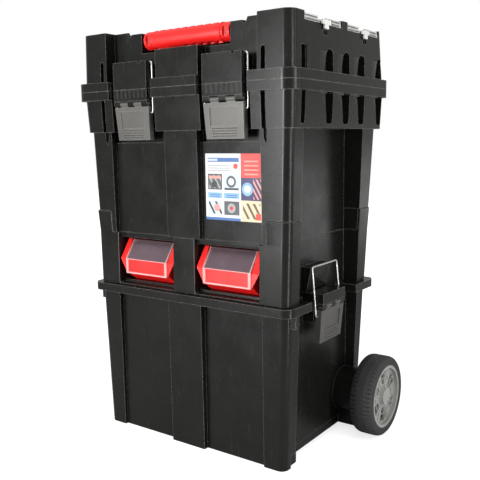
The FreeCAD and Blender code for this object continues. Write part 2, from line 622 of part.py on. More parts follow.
screws = []
for index, level in enumerate(SCREW_LEVELS):
    head = rod(f"screw_head_{'ab'[index]}", "y", "screw_across", "bracket_waist", level,
               "screw_head_radius", "screw_head_radius / 2")
    shank = rod(f"screw_shank_{'ab'[index]}", "y", "screw_across", "bracket_waist - screw_length", level,
                "screw_radius", "screw_length + 1")
    screws.append(fuse(f"screw_{'ab'[index]}", [head, shank]))
keep("bracket_screws", group("bracket_screws_solids", both(screws)))


def tube(name, x, radius, low, high):
    """A round tube along Z with the handle's wall."""
    outside = rod(name + "_outside", "z", x, "tube_back", low, radius, f"({high}) - ({low})")
    inside = rod(name + "_inside", "z", x, "tube_back", f"({low}) - 1", f"({radius}) - tube_wall",
                 f"({high}) - ({low}) + 2")
    return cut(name, outside, [inside])


keep("outer_tubes", group("outer_tube_pair", both([tube("outer_tube", "tube_half", "tube_radius",
                                                        "tube_low", "tube_high")])))
collar_block = rod("collar_block", "z", "tube_half", "tube_back", "tube_high - 2 * collar_height / 3",
                   "collar_radius", "collar_height")
collar_seat = rod("collar_seat", "z", "tube_half", "tube_back", "tube_high - collar_height",
                  "tube_radius + pin_gap", "collar_height + pin_gap")
collar_bore = rod("collar_bore", "z", "tube_half", "tube_back", "tube_high - collar_height",
                  "inner_tube_radius + 2 * pin_gap", "2 * collar_height")
keep("tube_collars", group("collar_pair", both([cut("collar", collar_block, [collar_seat, collar_bore])])))

inner_tube = tube("inner_tube", "tube_half", "inner_tube_radius", "inner_tube_low",
                  "pull_grip_low + pull_grip_height / 2")
bush_outside = rod("bush_outside", "z", "tube_half", "tube_back", "inner_tube_low",
                   "tube_radius - tube_wall - 2 * pin_gap", "collar_height")
bush_inside = rod("bush_inside", "z", "tube_half", "tube_back", "inner_tube_low - 1",
                  "inner_tube_radius - tube_wall", "collar_height + 2")
inner_bush = cut("inner_bush", bush_outside, [bush_inside])
keep("inner_tubes", group("inner_tube_pair", both([fuse("inner_tube_whole", [inner_tube, inner_bush])])))

PULL_GRIP_HIGH = "(pull_grip_low + pull_grip_height)"
grip_bar = rounded_pad("grip_bar", "XY_Plane", "-tube_half - pull_grip_overhang",
                       "tube_half + pull_grip_overhang", "tube_back - pull_grip_depth / 2",
                       "tube_back + pull_grip_depth / 2", "pull_grip_depth / 3", "pull_grip_low",
                       "pull_grip_height")
grip_tube_bore = rod("grip_tube_bore", "z", "tube_half", "tube_back", "pull_grip_low - 1",
                     "inner_tube_radius + pin_gap", "pull_grip_height / 2 + 1")
button_well = box("button_well", "-button_half - side_gap", "button_half + side_gap",
                  "tube_back - pull_grip_depth / 4 - side_gap", "tube_back + pull_grip_depth / 4 + side_gap",
                  f"{PULL_GRIP_HIGH} - button_travel - 2 * wall - side_gap", f"{PULL_GRIP_HIGH} + 1")
keep("pull_grip", cut("pull_grip_solid", grip_bar, both([grip_tube_bore]) + [button_well]))
keep("release_button", box("release_button_solid", "-button_half", "button_half",
                           "tube_back - pull_grip_depth / 4", "tube_back + pull_grip_depth / 4",
                           f"{PULL_GRIP_HIGH} - 2 * wall", f"{PULL_GRIP_HIGH} + button_travel / 2"))

# Wheels, each turned about its own centre and then put on the axle

WHEEL_X = "(wheel_outer - wheel_width / 2)"
HUB_OUT = "(wheel_width / 2 - cap_thickness - 2 * side_gap)"
HUB_IN = f"({WHEEL_X} - housing_outer - washer_thickness - 2 * side_gap)"
RIM_SIDE = "(wheel_width / 2 - side_gap)"
WEB_OUT = f"({RIM_SIDE} - rim_dish)"
WEB_IN = f"({WEB_OUT} - rim_web)"
RIM_INNER = "(rim_edge_radius - rim_edge)"
BORE = "axle_radius + axle_gap"

tyre = turned("tyre", [
    ("-wheel_width / 2", "rim_edge_radius + pin_gap"),
    ("-wheel_width / 2", "wheel_radius - tyre_shoulder"),
    ("-wheel_width / 2 + tyre_shoulder / 3", "wheel_radius - tyre_shoulder / 3"),
    ("-wheel_width / 2 + tyre_shoulder", "wheel_radius"),
    ("wheel_width / 2 - tyre_shoulder", "wheel_radius"),
    ("wheel_width / 2 - tyre_shoulder / 3", "wheel_radius - tyre_shoulder / 3"),
    ("wheel_width / 2", "wheel_radius - tyre_shoulder"),
    ("wheel_width / 2", "rim_edge_radius + pin_gap"),
])
rim_disc = turned("rim_disc", [
    (f"-{HUB_IN}", BORE), (f"-{HUB_IN}", "hub_radius"), (WEB_IN, "hub_radius"), (WEB_IN, RIM_INNER),
    (f"-{RIM_SIDE}", RIM_INNER), (f"-{RIM_SIDE}", "rim_edge_radius"), (RIM_SIDE, "rim_edge_radius"),
    (RIM_SIDE, RIM_INNER), (WEB_OUT, RIM_INNER), (WEB_OUT, "hub_radius"), (HUB_OUT, "hub_radius"),
    (HUB_OUT, BORE),
])
pocket = pad("pocket", "YZ_Plane", [
    ("-rim_edge", "hub_radius + rim_edge"), ("rim_edge", "hub_radius + rim_edge"),
    ("pocket_half", f"{RIM_INNER} - rim_edge"), ("-pocket_half", f"{RIM_INNER} - rim_edge"),
], f"{WEB_IN} - 1", "rim_web + 2")
pin_hole = rod("pin_hole", "x", f"{WEB_IN} - 1", "0", f"(hub_radius + {RIM_INNER}) / 2", "rim_edge / 2",
               "rim_web + 2")
pockets = []
for index in range(int(number("pocket_count"))):
    turn = 360 / number("pocket_count") * index
    half_turn = 180 / number("pocket_count")
    around = FreeCAD.Vector(1, 0, 0)
    pockets.append(placed(pocket, f"pocket_{index}", rotation=FreeCAD.Rotation(around, turn)))
    pockets.append(placed(pin_hole, f"pin_hole_{index}", rotation=FreeCAD.Rotation(around, turn + half_turn)))
rim_shape = cut("rim_shape", rim_disc, pockets)

for side, sign, half_turn in (("right", "", 0), ("left", "-", 180)):
    facing = FreeCAD.Rotation(FreeCAD.Vector(0, 0, 1), half_turn)
    for name, shape in (("tyre", tyre), ("wheel_rim", rim_shape)):
        keep(f"{name}_{side}", placed(shape, f"{name}_{side}_solid", f"{sign}{WHEEL_X}", "wheel_back",
                                      "wheel_radius", facing))

AXLE_END = f"({WHEEL_X} + {HUB_OUT} + side_gap)"
keep("axle", rod("axle_solid", "x", f"-{AXLE_END}", "wheel_back", "wheel_radius", "axle_radius",
                 f"2 * {AXLE_END}"))
cap = rod("cap", "x", AXLE_END, "wheel_back", "wheel_radius", "cap_radius", "cap_thickness")
keep("axle_caps", group("cap_pair", both([cap])))
washer_disc = rod("washer_disc", "x", "housing_outer + side_gap", "wheel_back", "wheel_radius",
                  "washer_radius", "washer_thickness")
washer_bore = rod("washer_bore", "x", "housing_outer", "wheel_back", "wheel_radius", AXLE_BORE,
                  "2 * washer_thickness + 2 * side_gap")
keep("axle_washers", group("washer_pair", both([cut("washer", washer_disc, [washer_bore])])))

# Bins module

BAY_FLOOR = f"({MODULE_LOW} + bay_sill)"
BAY_TOP = f"({MODULE_TOP} - bay_lintel)"
BAY_BACK = "(bay_depth - module_low_front)"
FRONT_PANEL = "(body_low_front - panel_depth)"
BIN_CENTRE = "((bay_inner + bay_outer) / 2)"
EAR_TOP = f"({MODULE_TOP} + ear_height)"

module_outer = shell_block(
    "module_outer", MODULE_LOW, MODULE_TOP, ("module_low_half", "module_low_front", "module_low_back"),
    ("module_high_half", "module_high_front", "module_high_back"), "corner_radius")
bay = box("bay", "bay_inner", "bay_outer", "-module_low_front - 1", BAY_BACK, BAY_FLOOR, BAY_TOP)
lintel_recess = box("lintel_recess", "bay_inner", "bay_outer", "-module_low_front - 1",
                    f"-{FRONT_PANEL}", BAY_FLOOR, f"{MODULE_TOP} + 1")
sill_step = box("sill_step", "bay_inner", "bay_outer", "-module_low_front - 1", "-bin_foot_front",
                f"{MODULE_LOW} + wall", f"{BAY_FLOOR} + 1")
module_side_recess = box("module_side_recess", "side_panel_half", "band_half", "-recess_near",
                         "recess_far", f"{MODULE_LOW} - 1", f"{MODULE_TOP} + 1")
rear_hollow = box("rear_hollow", "-side_panel_half + wall", "side_panel_half - wall", f"{BAY_BACK} + wall",
                  "module_low_back - wall", f"{MODULE_LOW} - 1", f"{MODULE_TOP} - wall")
post_hollow = box("post_hollow", "-bay_inner + wall", "bay_inner - wall", "-module_low_front + 3 * wall",
                  BAY_BACK, f"{MODULE_LOW} - 1", f"{MODULE_TOP} - wall")
side_hollow = box("side_hollow", "bay_outer + wall", "side_panel_half - wall", "-module_low_front + 3 * wall",
                  BAY_BACK, f"{MODULE_LOW} - 1", f"{MODULE_TOP} - wall")
module_shape = cut("module_shape", module_outer,
                   both([bay, lintel_recess, sill_step, module_side_recess, side_hollow])
                   + [rear_hollow, post_hollow])


def ear_block(name, inset, low, high):
    """The flared block that the corner ears are cut from, smaller by an inset."""
    low_sizes = [f"{size} - ({inset})"
                 for size in ("module_high_half", "module_high_front", "module_high_back")]
    high_sizes = [f"{size} + ear_flare - ({inset})"
                  for size in ("module_high_half", "module_high_front", "body_low_back")]
    return shell_block(name, low, high, low_sizes, high_sizes, f"corner_radius - ({inset})")


def ear_zones(name, gap, top):
    """The corners of the stack that the ears take up."""
    near = box(name + "_near", f"ear_inner - ({gap})", "rim_half", "-rim_front", f"-recess_near + ({gap})",
               MODULE_TOP, top)
    far = box(name + "_far", f"side_panel_half - ({gap})", "rim_half", f"recess_far - ({gap})", "rim_back",
              MODULE_TOP, top)
    return fuse(name, both([near, far]))


ear_ring = cut("ear_ring", ear_block("ear_outside", "0", MODULE_TOP, EAR_TOP),
               [ear_block("ear_inside", "ear_wall", MODULE_TOP, EAR_TOP)])
ears = common("ears", ear_ring, ear_zones("ear_zones", "0", EAR_TOP))
ear_clearance = cut("ear_clearance", ear_zones("ear_room", "side_gap", f"{EAR_TOP} + side_gap"),
                    [ear_block("ear_core", "ear_wall + side_gap", MODULE_TOP, EAR_TOP)])

CATCH_LOW = f"({TUB_TOP} + side_block_rise + side_gap)"
CATCH_HIGH = f"({MODULE_LOW} + side_catch_height)"
side_catch = pad("side_catch", "XZ_Plane", [
    ("side_panel_half - 1", CATCH_LOW),
    ("side_panel_half + side_catch_reach / 2", CATCH_LOW),
    ("side_panel_half + side_catch_reach - 2 * wire_radius", f"{CATCH_HIGH} - wall"),
    ("side_panel_half + side_catch_reach - 2 * wire_radius", CATCH_HIGH),
    ("side_panel_half - 1", CATCH_HIGH),
], "side_latch_centre - side_catch_half", "2 * side_catch_half")
keep("bins_module", fuse("bins_module_solid", [module_shape, ears] + both([side_catch])))

# Bins, drawn for the right bay; the left one is the mirror image

BIN_LOW = f"({BAY_FLOOR} + side_gap)"
BIN_TOP = f"({BAY_TOP} - bin_headroom)"
BIN_FRONT = "(bin_foot_front + bin_front_lean - bin_lid_thickness)"
BIN_BEND = f"({BIN_LOW} + bin_bend_rise)"
BIN_MOUTH = f"({BIN_LOW} + bin_front_height)"
BIN_TOP_FRONT = f"({BIN_FRONT} - bin_lip)"
BIN_BACK = f"({BAY_BACK} - 2 * side_gap)"


def bin_section(name, inset, floor):
    """The bin seen from the front: sides that lean out towards the top."""
    return pad(name, "XZ_Plane", [
        (f"{BIN_CENTRE} - bin_foot_half + ({inset})", floor),
        (f"{BIN_CENTRE} + bin_foot_half - ({inset})", floor),
        (f"{BIN_CENTRE} + bin_half - ({inset})", f"{BIN_TOP} + ({inset})"),
        (f"{BIN_CENTRE} - bin_half + ({inset})", f"{BIN_TOP} + ({inset})"),
    ], f"-{BIN_BACK} - 1", f"{BIN_BACK} + module_low_front + 2")


bin_profile = pad("bin_profile", "YZ_Plane", [
    (f"-{BIN_FRONT} + bin_front_lean + bin_bend_rise / 2", BIN_LOW),
    (f"-{BIN_FRONT} + bin_front_lean", f"{BIN_LOW} + bin_bend_rise / 3"), (f"-{BIN_FRONT}", BIN_BEND),
    (f"-{BIN_FRONT}", BIN_MOUTH), (f"-{BIN_TOP_FRONT}", BIN_TOP), (BIN_BACK, BIN_TOP), (BIN_BACK, BIN_LOW),
], f"{BIN_CENTRE} - bin_half - 1", "2 * bin_half + 2")
bin_room_profile = pad("bin_room_profile", "YZ_Plane", [
    (f"-{BIN_FRONT} + bin_front_lean + bin_bend_rise / 2 + panel_wall", f"{BIN_LOW} + panel_wall"),
    (f"-{BIN_FRONT} + panel_wall", f"{BIN_BEND} + panel_wall"), (f"-{BIN_FRONT} + panel_wall", BIN_MOUTH),
    (f"-{BIN_FRONT} - 1", BIN_MOUTH), (f"-{BIN_FRONT} - 1", f"{BIN_TOP} + 2"),
    (f"{BIN_BACK} - panel_wall", f"{BIN_TOP} + 2"), (f"{BIN_BACK} - panel_wall", f"{BIN_LOW} + panel_wall"),
], f"{BIN_CENTRE} - bin_half", "2 * bin_half")
bin_block = common("bin_block", bin_profile, bin_section("bin_outside", "0", BIN_LOW))
bin_flange_strip = pad("bin_flange_strip", "YZ_Plane", [
    (f"-{BIN_TOP_FRONT}", BIN_TOP), (f"-{BIN_FRONT}", BIN_MOUTH), (f"-{BIN_FRONT}", BIN_BEND),
    (f"-{BIN_FRONT} + bin_flange", BIN_BEND), (f"-{BIN_FRONT} + bin_flange", BIN_MOUTH),
    (f"-{BIN_TOP_FRONT} + bin_flange", BIN_TOP),
], f"{BIN_CENTRE} - bin_flange_half", "2 * bin_flange_half")
bin_flange_outline = pad("bin_flange_outline", "XZ_Plane", [
    (f"{BIN_CENTRE} - bin_foot_half", BIN_BEND), (f"{BIN_CENTRE} + bin_foot_half", BIN_BEND),
    (f"{BIN_CENTRE} + bin_flange_half", BIN_MOUTH), (f"{BIN_CENTRE} + bin_flange_top", BIN_TOP),
    (f"{BIN_CENTRE} - bin_flange_top", BIN_TOP), (f"{BIN_CENTRE} - bin_flange_half", BIN_MOUTH),
], f"-{BIN_BACK} - 1", f"{BIN_BACK} + module_low_front + 2")
bin_rim = common("bin_rim", bin_flange_strip, bin_flange_outline)
bin_room = common("bin_room", bin_room_profile, bin_section("bin_inside", "panel_wall", BIN_LOW))

BIN_HINGE_OUT = f"(-{BIN_TOP_FRONT} + knuckle_radius / 2 + 1)"
BIN_HINGE_LEVEL = f"({BIN_TOP} - knuckle_radius / 2 - 1)"
BIN_LID_HALF = "(bin_half - panel_wall - bin_lid_inset)"
bin_pin_bore = rod("bin_pin_bore", "x", f"{BIN_CENTRE} - bin_half - 1", BIN_HINGE_OUT, BIN_HINGE_LEVEL,
                   "bin_pin_radius + pin_gap", "2 * bin_half + 2")
bin_right = cut("bin_right_solid", fuse("bin_blocks", [bin_block, bin_rim]), [bin_room, bin_pin_bore])
keep("bin_right", bin_right)
keep("bin_left", mirrored(bin_right, "bin_left_solid"))

BIN_LID_FRONT = f"({BIN_FRONT} + side_gap / 2 + bin_lid_thickness)"
bin_lid_panel = pad("bin_lid_panel", "YZ_Plane", [
    (BIN_HINGE_OUT, f"{BIN_HINGE_LEVEL} - bin_lid_thickness / 2"),
    (f"-{BIN_LID_FRONT} + bin_lid_thickness", f"{BIN_MOUTH} + side_gap"),
    (f"-{BIN_LID_FRONT} + bin_lid_thickness", f"{BIN_MOUTH} + side_gap - bin_apron"),
    (f"-{BIN_LID_FRONT}", f"{BIN_MOUTH} + side_gap - bin_apron"),
    (f"-{BIN_LID_FRONT}", f"{BIN_MOUTH} + side_gap + bin_lid_thickness / 2"),
    (f"{BIN_HINGE_OUT} - knuckle_radius / 2", f"{BIN_HINGE_LEVEL} + bin_lid_thickness"),
    (BIN_HINGE_OUT, f"{BIN_HINGE_LEVEL} + bin_lid_thickness"),
], f"{BIN_CENTRE} - {BIN_LID_HALF}", f"2 * {BIN_LID_HALF}")
bin_lid_barrel = rod("bin_lid_barrel", "x", f"{BIN_CENTRE} - {BIN_LID_HALF}", BIN_HINGE_OUT, BIN_HINGE_LEVEL,
                     "bin_lid_thickness", f"2 * {BIN_LID_HALF}")
bin_lid_pins = rod("bin_lid_pins", "x", f"{BIN_CENTRE} - bin_half + side_gap", BIN_HINGE_OUT, BIN_HINGE_LEVEL,
                   "bin_pin_radius", "2 * bin_half - 2 * side_gap")
bin_lid_right = fuse("bin_lid_right_solid", [bin_lid_panel, bin_lid_barrel, bin_lid_pins])
keep("bin_lid_right", bin_lid_right)
keep("bin_lid_left", mirrored(bin_lid_right, "bin_lid_left_solid"))

# Tool box body

CAVITY_HALF = "(module_high_half - ear_wall - side_gap - wall)"
CAVITY_FRONT = f"({FRONT_PANEL} - pocket_depth - wall)"
FRONT_HINGE_OUT = f"(latch_block_front - {KNUCKLE_ROOM})"
FRONT_HINGE_LEVEL = f"({SEAM} - latch_hinge_drop)"
BAND_LOW = f"({SEAM} - band_drop)"
SLOTS = {"nose": "slot_narrow", "one": "slot_width", "two": "slot_width", "three": "slot_width",
         "four": "slot_width"}


def side_slots():
    """The upright slots that run from the skirt into the lid's sides."""
    tools = []
    for name, width in SLOTS.items():
        middle = f"slot_{name}"
        tools.append(rounded_pad(f"side_slot_{name}", "YZ_Plane", f"{middle} - {width} / 2",
                                 f"{middle} + {width} / 2", f"{SEAM} - slot_fall", f"{SEAM} + slot_rise",
                                 f"{width} / 3", "skirt_low_half - slot_depth", "2 * slot_depth"))
    return tools


groove = pad("groove", "XZ_Plane", [
    ("groove_inner + groove_width / 3", f"{SEAM} + groove_rise"),
    ("groove_inner", f"{SEAM} + groove_rise - groove_width / 3"),
    ("groove_inner", f"{SEAM} - groove_fall + groove_width"),
    ("groove_inner + groove_width / 2", f"{SEAM} - groove_fall"),
    ("groove_inner + groove_width", f"{SEAM} - groove_fall + groove_width"),
    ("groove_inner + groove_width", f"{SEAM} + groove_rise - groove_width / 3"),
    ("groove_inner + groove_width / 3 * 2", f"{SEAM} + groove_rise"),
], "skirt_low_front - groove_depth", "2 * groove_depth")
slots = side_slots()

body_outer = shell_block(
    "body_outer", BODY_LOW, f"{SKIRT_LOW} + 1", ("body_low_half", "body_low_front", "body_low_back"),
    ("body_high_half", "body_high_front", "body_high_back"), "corner_radius")
body_side_recess = box("body_side_recess", "side_panel_half", "band_half", "-recess_near",
                       "recess_far", f"{BODY_LOW} - 1", SKIRT_LOW)
front_recess = box("front_recess", "front_centre_half", "front_pillar_inner", "-body_high_front - 1",
                   f"-{FRONT_PANEL}", f"{BODY_LOW} - 1", f"{SKIRT_LOW} + 1")
finger_pocket = box("finger_pocket", "front_centre_half", "front_pillar_inner", "-body_high_front - 1",
                    f"-{FRONT_PANEL} + pocket_depth", f"{SKIRT_LOW} - shelf_drop", SKIRT_LOW)
body_lower = cut("body_lower", body_outer,
                 both([body_side_recess, front_recess, finger_pocket, groove]) + [ear_clearance])

skirt_block = shell_block(
    "skirt_block", SKIRT_LOW, SEAM, ("skirt_low_half", "skirt_low_front", "skirt_low_back"),
    ("skirt_high_half", "skirt_high_front", "skirt_high_back"), "skirt_radius")
latch_window = box("latch_window_block", "latch_centre - latch_window", "latch_centre + latch_window",
                   "-band_front - 1", f"-{FRONT_PANEL}", f"{SKIRT_LOW} - 1", f"{SEAM} + 1")
skirt = cut("skirt", skirt_block, both([groove, latch_window] + slots))
body_band_block = rounded_pad("body_band_block", "XY_Plane", "-band_half", "band_half", "-band_front",
                              "band_back", "band_radius", BAND_LOW, "band_drop")
body_band = cut("body_band", body_band_block, both([latch_window]))
latch_strip = box("latch_strip", "latch_centre - latch_block_half", "latch_centre + latch_block_half",
                  "-latch_block_front", f"-{FRONT_PANEL} + 1", f"{FRONT_HINGE_LEVEL} + {KNUCKLE_ROOM}", SEAM)
body_blocks = fuse("body_blocks", [body_lower, skirt, body_band] + both([latch_strip]))

body_cavity_block = shell_block(
    "body_cavity_block", f"{BODY_LOW} + wall", f"{SEAM} + 1",
    (CAVITY_HALF, CAVITY_FRONT, "body_low_back - wall"),
    (CAVITY_HALF, CAVITY_FRONT, "body_high_back - wall"), "corner_radius - wall")
body_cavity_side = box("body_cavity_side", "side_panel_half - wall", "body_high_half", "-recess_near - wall",
                       "recess_far + wall", BODY_LOW, f"{SKIRT_LOW} + wall")
body_cavity = cut("body_cavity", body_cavity_block, both([body_cavity_side]))

HINGE_THIRD = "(lid_hinge_length / 3)"


def hinge_relief(name, start, end):
    """Room round the lid hinge for the other part's knuckles."""
    return rod(name, "x", start, "lid_hinge_back", SEAM, "lid_knuckle_radius + side_gap",
               f"({end}) - ({start})")


def knuckle(name, start, end, low, high):
    """A hinge knuckle on the axis and the web that carries it."""
    barrel = rod(name + "_barrel", "x", start, "lid_hinge_back", SEAM, "lid_knuckle_radius",
                 f"({end}) - ({start})")
    web = box(name + "_web", start, end, "skirt_low_back - 1", "lid_hinge_back", low, high)
    return fuse(name, [barrel, web])


lid_pin_bore = rod("lid_pin_bore", "x", "lid_hinge_inner - 1", "lid_hinge_back", SEAM,
                   "lid_pin_radius + pin_gap", "lid_hinge_length + 2")
body_relief = hinge_relief("body_relief", f"lid_hinge_inner + {HINGE_THIRD} - side_gap",
                           f"lid_hinge_inner + 2 * {HINGE_THIRD} + side_gap")
body_knuckles = [
    knuckle(f"body_knuckle_{label}", f"lid_hinge_inner + {step} * {HINGE_THIRD}",
            f"lid_hinge_inner + {step + 1} * {HINGE_THIRD}", f"{SEAM} - lid_knuckle_radius",
            f"{SEAM} - side_gap / 2")
    for label, step in (("a", 0), ("b", 2))
]
body_hollow = cut("body_hollow", body_blocks, [body_cavity] + both([body_relief]))
front_teeth = hinge_teeth("front_hinge", "x", "latch_centre", f"-{FRONT_HINGE_OUT}", FRONT_HINGE_LEVEL)
body_whole = fuse("body_whole", [body_hollow] + both(body_knuckles + front_teeth))
front_pin_bore = rod("front_pin_bore", "x", "latch_centre - latch_block_half - 1", f"-{FRONT_HINGE_OUT}",
                     FRONT_HINGE_LEVEL, "hinge_pin_radius + pin_gap", "2 * latch_block_half + 2")
keep("toolbox_body", cut("toolbox_body_solid", body_whole, both([lid_pin_bore, front_pin_bore])))

lid_pin = rod("lid_pin", "x", "lid_hinge_inner", "lid_hinge_back", SEAM, "lid_pin_radius", "lid_hinge_length")
keep("lid_hinge_pins", group("lid_pin_pair", both([lid_pin])))

keep("label", box("label_solid", "label_inner", "label_inner + label_width",
                  f"-{FRONT_PANEL} - label_thickness", f"-{FRONT_PANEL}",
                  f"{BODY_LOW} + label_low", f"{BODY_LOW} + label_low + label_height"))

# Tool tray on the ledges above the side recesses

TRAY_LOW = f"({SKIRT_LOW} + wall + seat_gap)"
TRAY_HALF = f"({CAVITY_HALF} - 2 * side_gap)"
TRAY_FRONT = f"({CAVITY_FRONT} - 2 * side_gap)"
tray_block = rounded_pad("tray_block", "XY_Plane", f"-{TRAY_HALF}", TRAY_HALF, f"-{TRAY_FRONT}",
                         "body_low_back - side_gap", "corner_radius - wall", TRAY_LOW, "tray_height")
tray_rooms = []
for label, near, far in (("near", f"-{TRAY_FRONT} + panel_wall", "-tray_spine / 2"),
                         ("far", "tray_spine / 2", "body_low_back - side_gap - panel_wall")):
    tray_rooms.append(rounded_pad(f"tray_room_{label}", "XY_Plane", f"-{TRAY_HALF} + panel_wall",
                                  f"{TRAY_HALF} - panel_wall", near, far, "corner_radius - wall - panel_wall",
                                  f"{TRAY_LOW} + panel_wall", "tray_height"))
tray_grip = box("tray_grip", "-grip_half / 2", "grip_half / 2", "-tray_spine", "tray_spine",
                f"{TRAY_LOW} + tray_height / 2", f"{TRAY_LOW} + tray_height - 2 * wall")
keep("tool_tray", cut("tool_tray_solid", tray_block, tray_rooms + [tray_grip]))

# Latch levers and their wire bails, drawn at the hinge: X along the pin, -Y outwards, Z up

plate = pad("lever_plate", "XZ_Plane", [
    ("-lever_half - lever_taper", "-lever_top"), ("-lever_half + lever_taper", "-lever_length"),
    ("lever_half - lever_taper", "-lever_length"), ("lever_half + lever_taper", "-lever_top"),
], "lever_proud - lever_thickness", "lever_thickness")
lever_window = box("lever_window", "-lever_half + 3 * wall", "lever_half - 3 * wall", "-lever_proud - 1",
                   "-lever_proud + lever_relief", "-lever_length / 3 * 2", "-lever_top - 2 * wall")
lever_grooves = []
for index in range(4):
    level = f"-lever_length + wall + {index} * lever_groove_pitch"
    lever_grooves.append(box(f"lever_groove_{index}", "-lever_half + 4 * wall", "lever_half - 4 * wall",
                             "-lever_proud - 1", "-lever_proud + lever_relief", level,
                             f"{level} + lever_groove_pitch / 2"))
lever_teeth = []
for label, side in (("left", "-"), ("right", "")):
    start = f"{side}tooth_pitch / 2 - {LEVER_TOOTH} / 2"
    end = f"{side}tooth_pitch / 2 + {LEVER_TOOTH} / 2"
    lever_teeth.append(rod(f"lever_tooth_{label}", "x", start, "0", "0", "knuckle_radius", LEVER_TOOTH))
    lever_teeth.append(box(f"lever_tooth_root_{label}", start, end, "-lever_proud",
                           "knuckle_radius", "-lever_top - 1", "0"))
lever_pin_bore = rod("lever_pin_bore", "x", "-lever_half", "0", "0", "hinge_pin_radius + pin_gap",
                     "2 * lever_half")
bail_socket = rod("bail_socket", "x", "lever_half - bail_grip", "bail_seat", "-bail_pivot",
                  "wire_radius + pin_gap", "2 * bail_grip")
lever = cut("lever", fuse("lever_blocks", [plate] + lever_teeth),
            [lever_window, lever_pin_bore] + lever_grooves + both([bail_socket]))


def bend(name, x, z, start):
    """A quarter turn of the bail wire in the XZ plane, from a start angle counted from +X."""
    ring = doc.addObject("Part::Torus", name)
    ring.setExpression("Radius1", bind("wire_bend"))
    ring.setExpression("Radius2", bind("wire_radius"))
    ring.Angle3 = 90
    upright = FreeCAD.Rotation(FreeCAD.Vector(1, 0, 0), 90)
    spin = FreeCAD.Rotation(FreeCAD.Vector(0, 0, 1), start)
    ring.Placement = FreeCAD.Placement(FreeCAD.Vector(), upright.multiply(spin))
    ring.setExpression("Placement.Base.x", bind(x))
    ring.setExpression("Placement.Base.z", bind(z))
    return ring


def bail(name, length):
    """A wire loop: two feet in the lever's sides, two legs and the bar that hooks the catch."""
    leg = rod(name + "_leg", "z", "bail_half", "0", "wire_bend", "wire_radius", f"{length} - 2 * wire_bend")
    foot = rod(name + "_foot", "x", "lever_half - bail_grip + side_gap", "0", "0", "wire_radius",
               "bail_half - wire_bend - lever_half + bail_grip - side_gap")
    low_bend = bend(name + "_low_bend", "bail_half - wire_bend", "wire_bend", 270)
    high_bend = bend(name + "_high_bend", "bail_half - wire_bend", f"{length} - wire_bend", 0)
    bar = rod(name + "_bar", "x", "-bail_half + wire_bend", "0", length, "wire_radius",
              "2 * bail_half - 2 * wire_bend")
    return fuse(name, both([leg, foot, low_bend, high_bend]) + [bar])


# A bail's pivot, out from the hinge and below it, for the lever as it leans when it is shut
PIVOT_OUT = "(-bail_seat * cos(lever_tilt) - bail_pivot * sin(lever_tilt))"
PIVOT_DROP = "(bail_pivot * cos(lever_tilt) - bail_seat * sin(lever_tilt))"
lean = FreeCAD.Rotation(FreeCAD.Vector(1, 0, 0), number("lever_tilt"))
front_bail = bail("front_bail", "front_bail_length")
side_bail = bail("side_bail", "side_bail_length")
side_lean = FreeCAD.Rotation(FreeCAD.Vector(1, 0, 0), -number("side_bail_lean"))
for side, sign, quarter in (("right", "", 90), ("left", "-", -90)):
    facing = FreeCAD.Rotation(FreeCAD.Vector(0, 0, 1), quarter)
    keep(f"front_lever_{side}", placed(lever, f"front_lever_{side}_solid", f"{sign}latch_centre",
                                       f"-{FRONT_HINGE_OUT}", FRONT_HINGE_LEVEL, lean))
    keep(f"front_bail_{side}", placed(front_bail, f"front_bail_{side}_solid", f"{sign}latch_centre",
                                      f"-{FRONT_HINGE_OUT} - {PIVOT_OUT}",
                                      f"{FRONT_HINGE_LEVEL} - {PIVOT_DROP}"))
    keep(f"side_lever_{side}", placed(lever, f"side_lever_{side}_solid", f"{sign}{SIDE_HINGE_OUT}",
                                      "-side_latch_centre", SIDE_HINGE_LEVEL, facing.multiply(lean)))
    keep(f"side_bail_{side}", placed(side_bail, f"side_bail_{side}_solid",
                                     f"{sign}({SIDE_HINGE_OUT} + {PIVOT_OUT})", "-side_latch_centre",
                                     f"{SIDE_HINGE_LEVEL} - {PIVOT_DROP}", facing.multiply(side_lean)))

front_pin = rod("front_pin", "x", "latch_centre - latch_block_half", f"-{FRONT_HINGE_OUT}", FRONT_HINGE_LEVEL,
                "hinge_pin_radius", "2 * latch_block_half")
keep("front_lever_pins", group("front_pin_pair", both([front_pin])))
side_pin = rod("side_pin", "y", SIDE_HINGE_OUT, "-side_latch_centre - latch_block_half", SIDE_HINGE_LEVEL,
               "hinge_pin_radius", "2 * latch_block_half")
keep("side_lever_pins", group("side_pin_pair", both([side_pin])))

# Tool box lid

LID_WALL_FRONT = "(lid_low_front - lid_base_depth)"
HANDLE_FLOOR = f"({LID_TOP} - handle_recess_depth)"
ORGANISER_LEVEL = f"({LID_TOP} - organiser_sink)"
WELL_LOW = f"({ORGANISER_LEVEL} - organiser_depth)"
ORGANISER_AXIS = f"({ORGANISER_LEVEL} + seat_gap + organiser_lid_thickness / 2)"
ORGANISERS = {
    "front": ("-organiser_front", "(organiser_length - organiser_front)"),
    "rear": ("(organiser_length + organiser_post - organiser_front)",
             "(2 * organiser_length + organiser_post - organiser_front)"),
}
BAR_LEVEL = f"({FRONT_HINGE_LEVEL} - {PIVOT_DROP} + front_bail_length)"
LID_CAVITY_HALF = "(lid_high_half - slot_depth - lid_wall)"

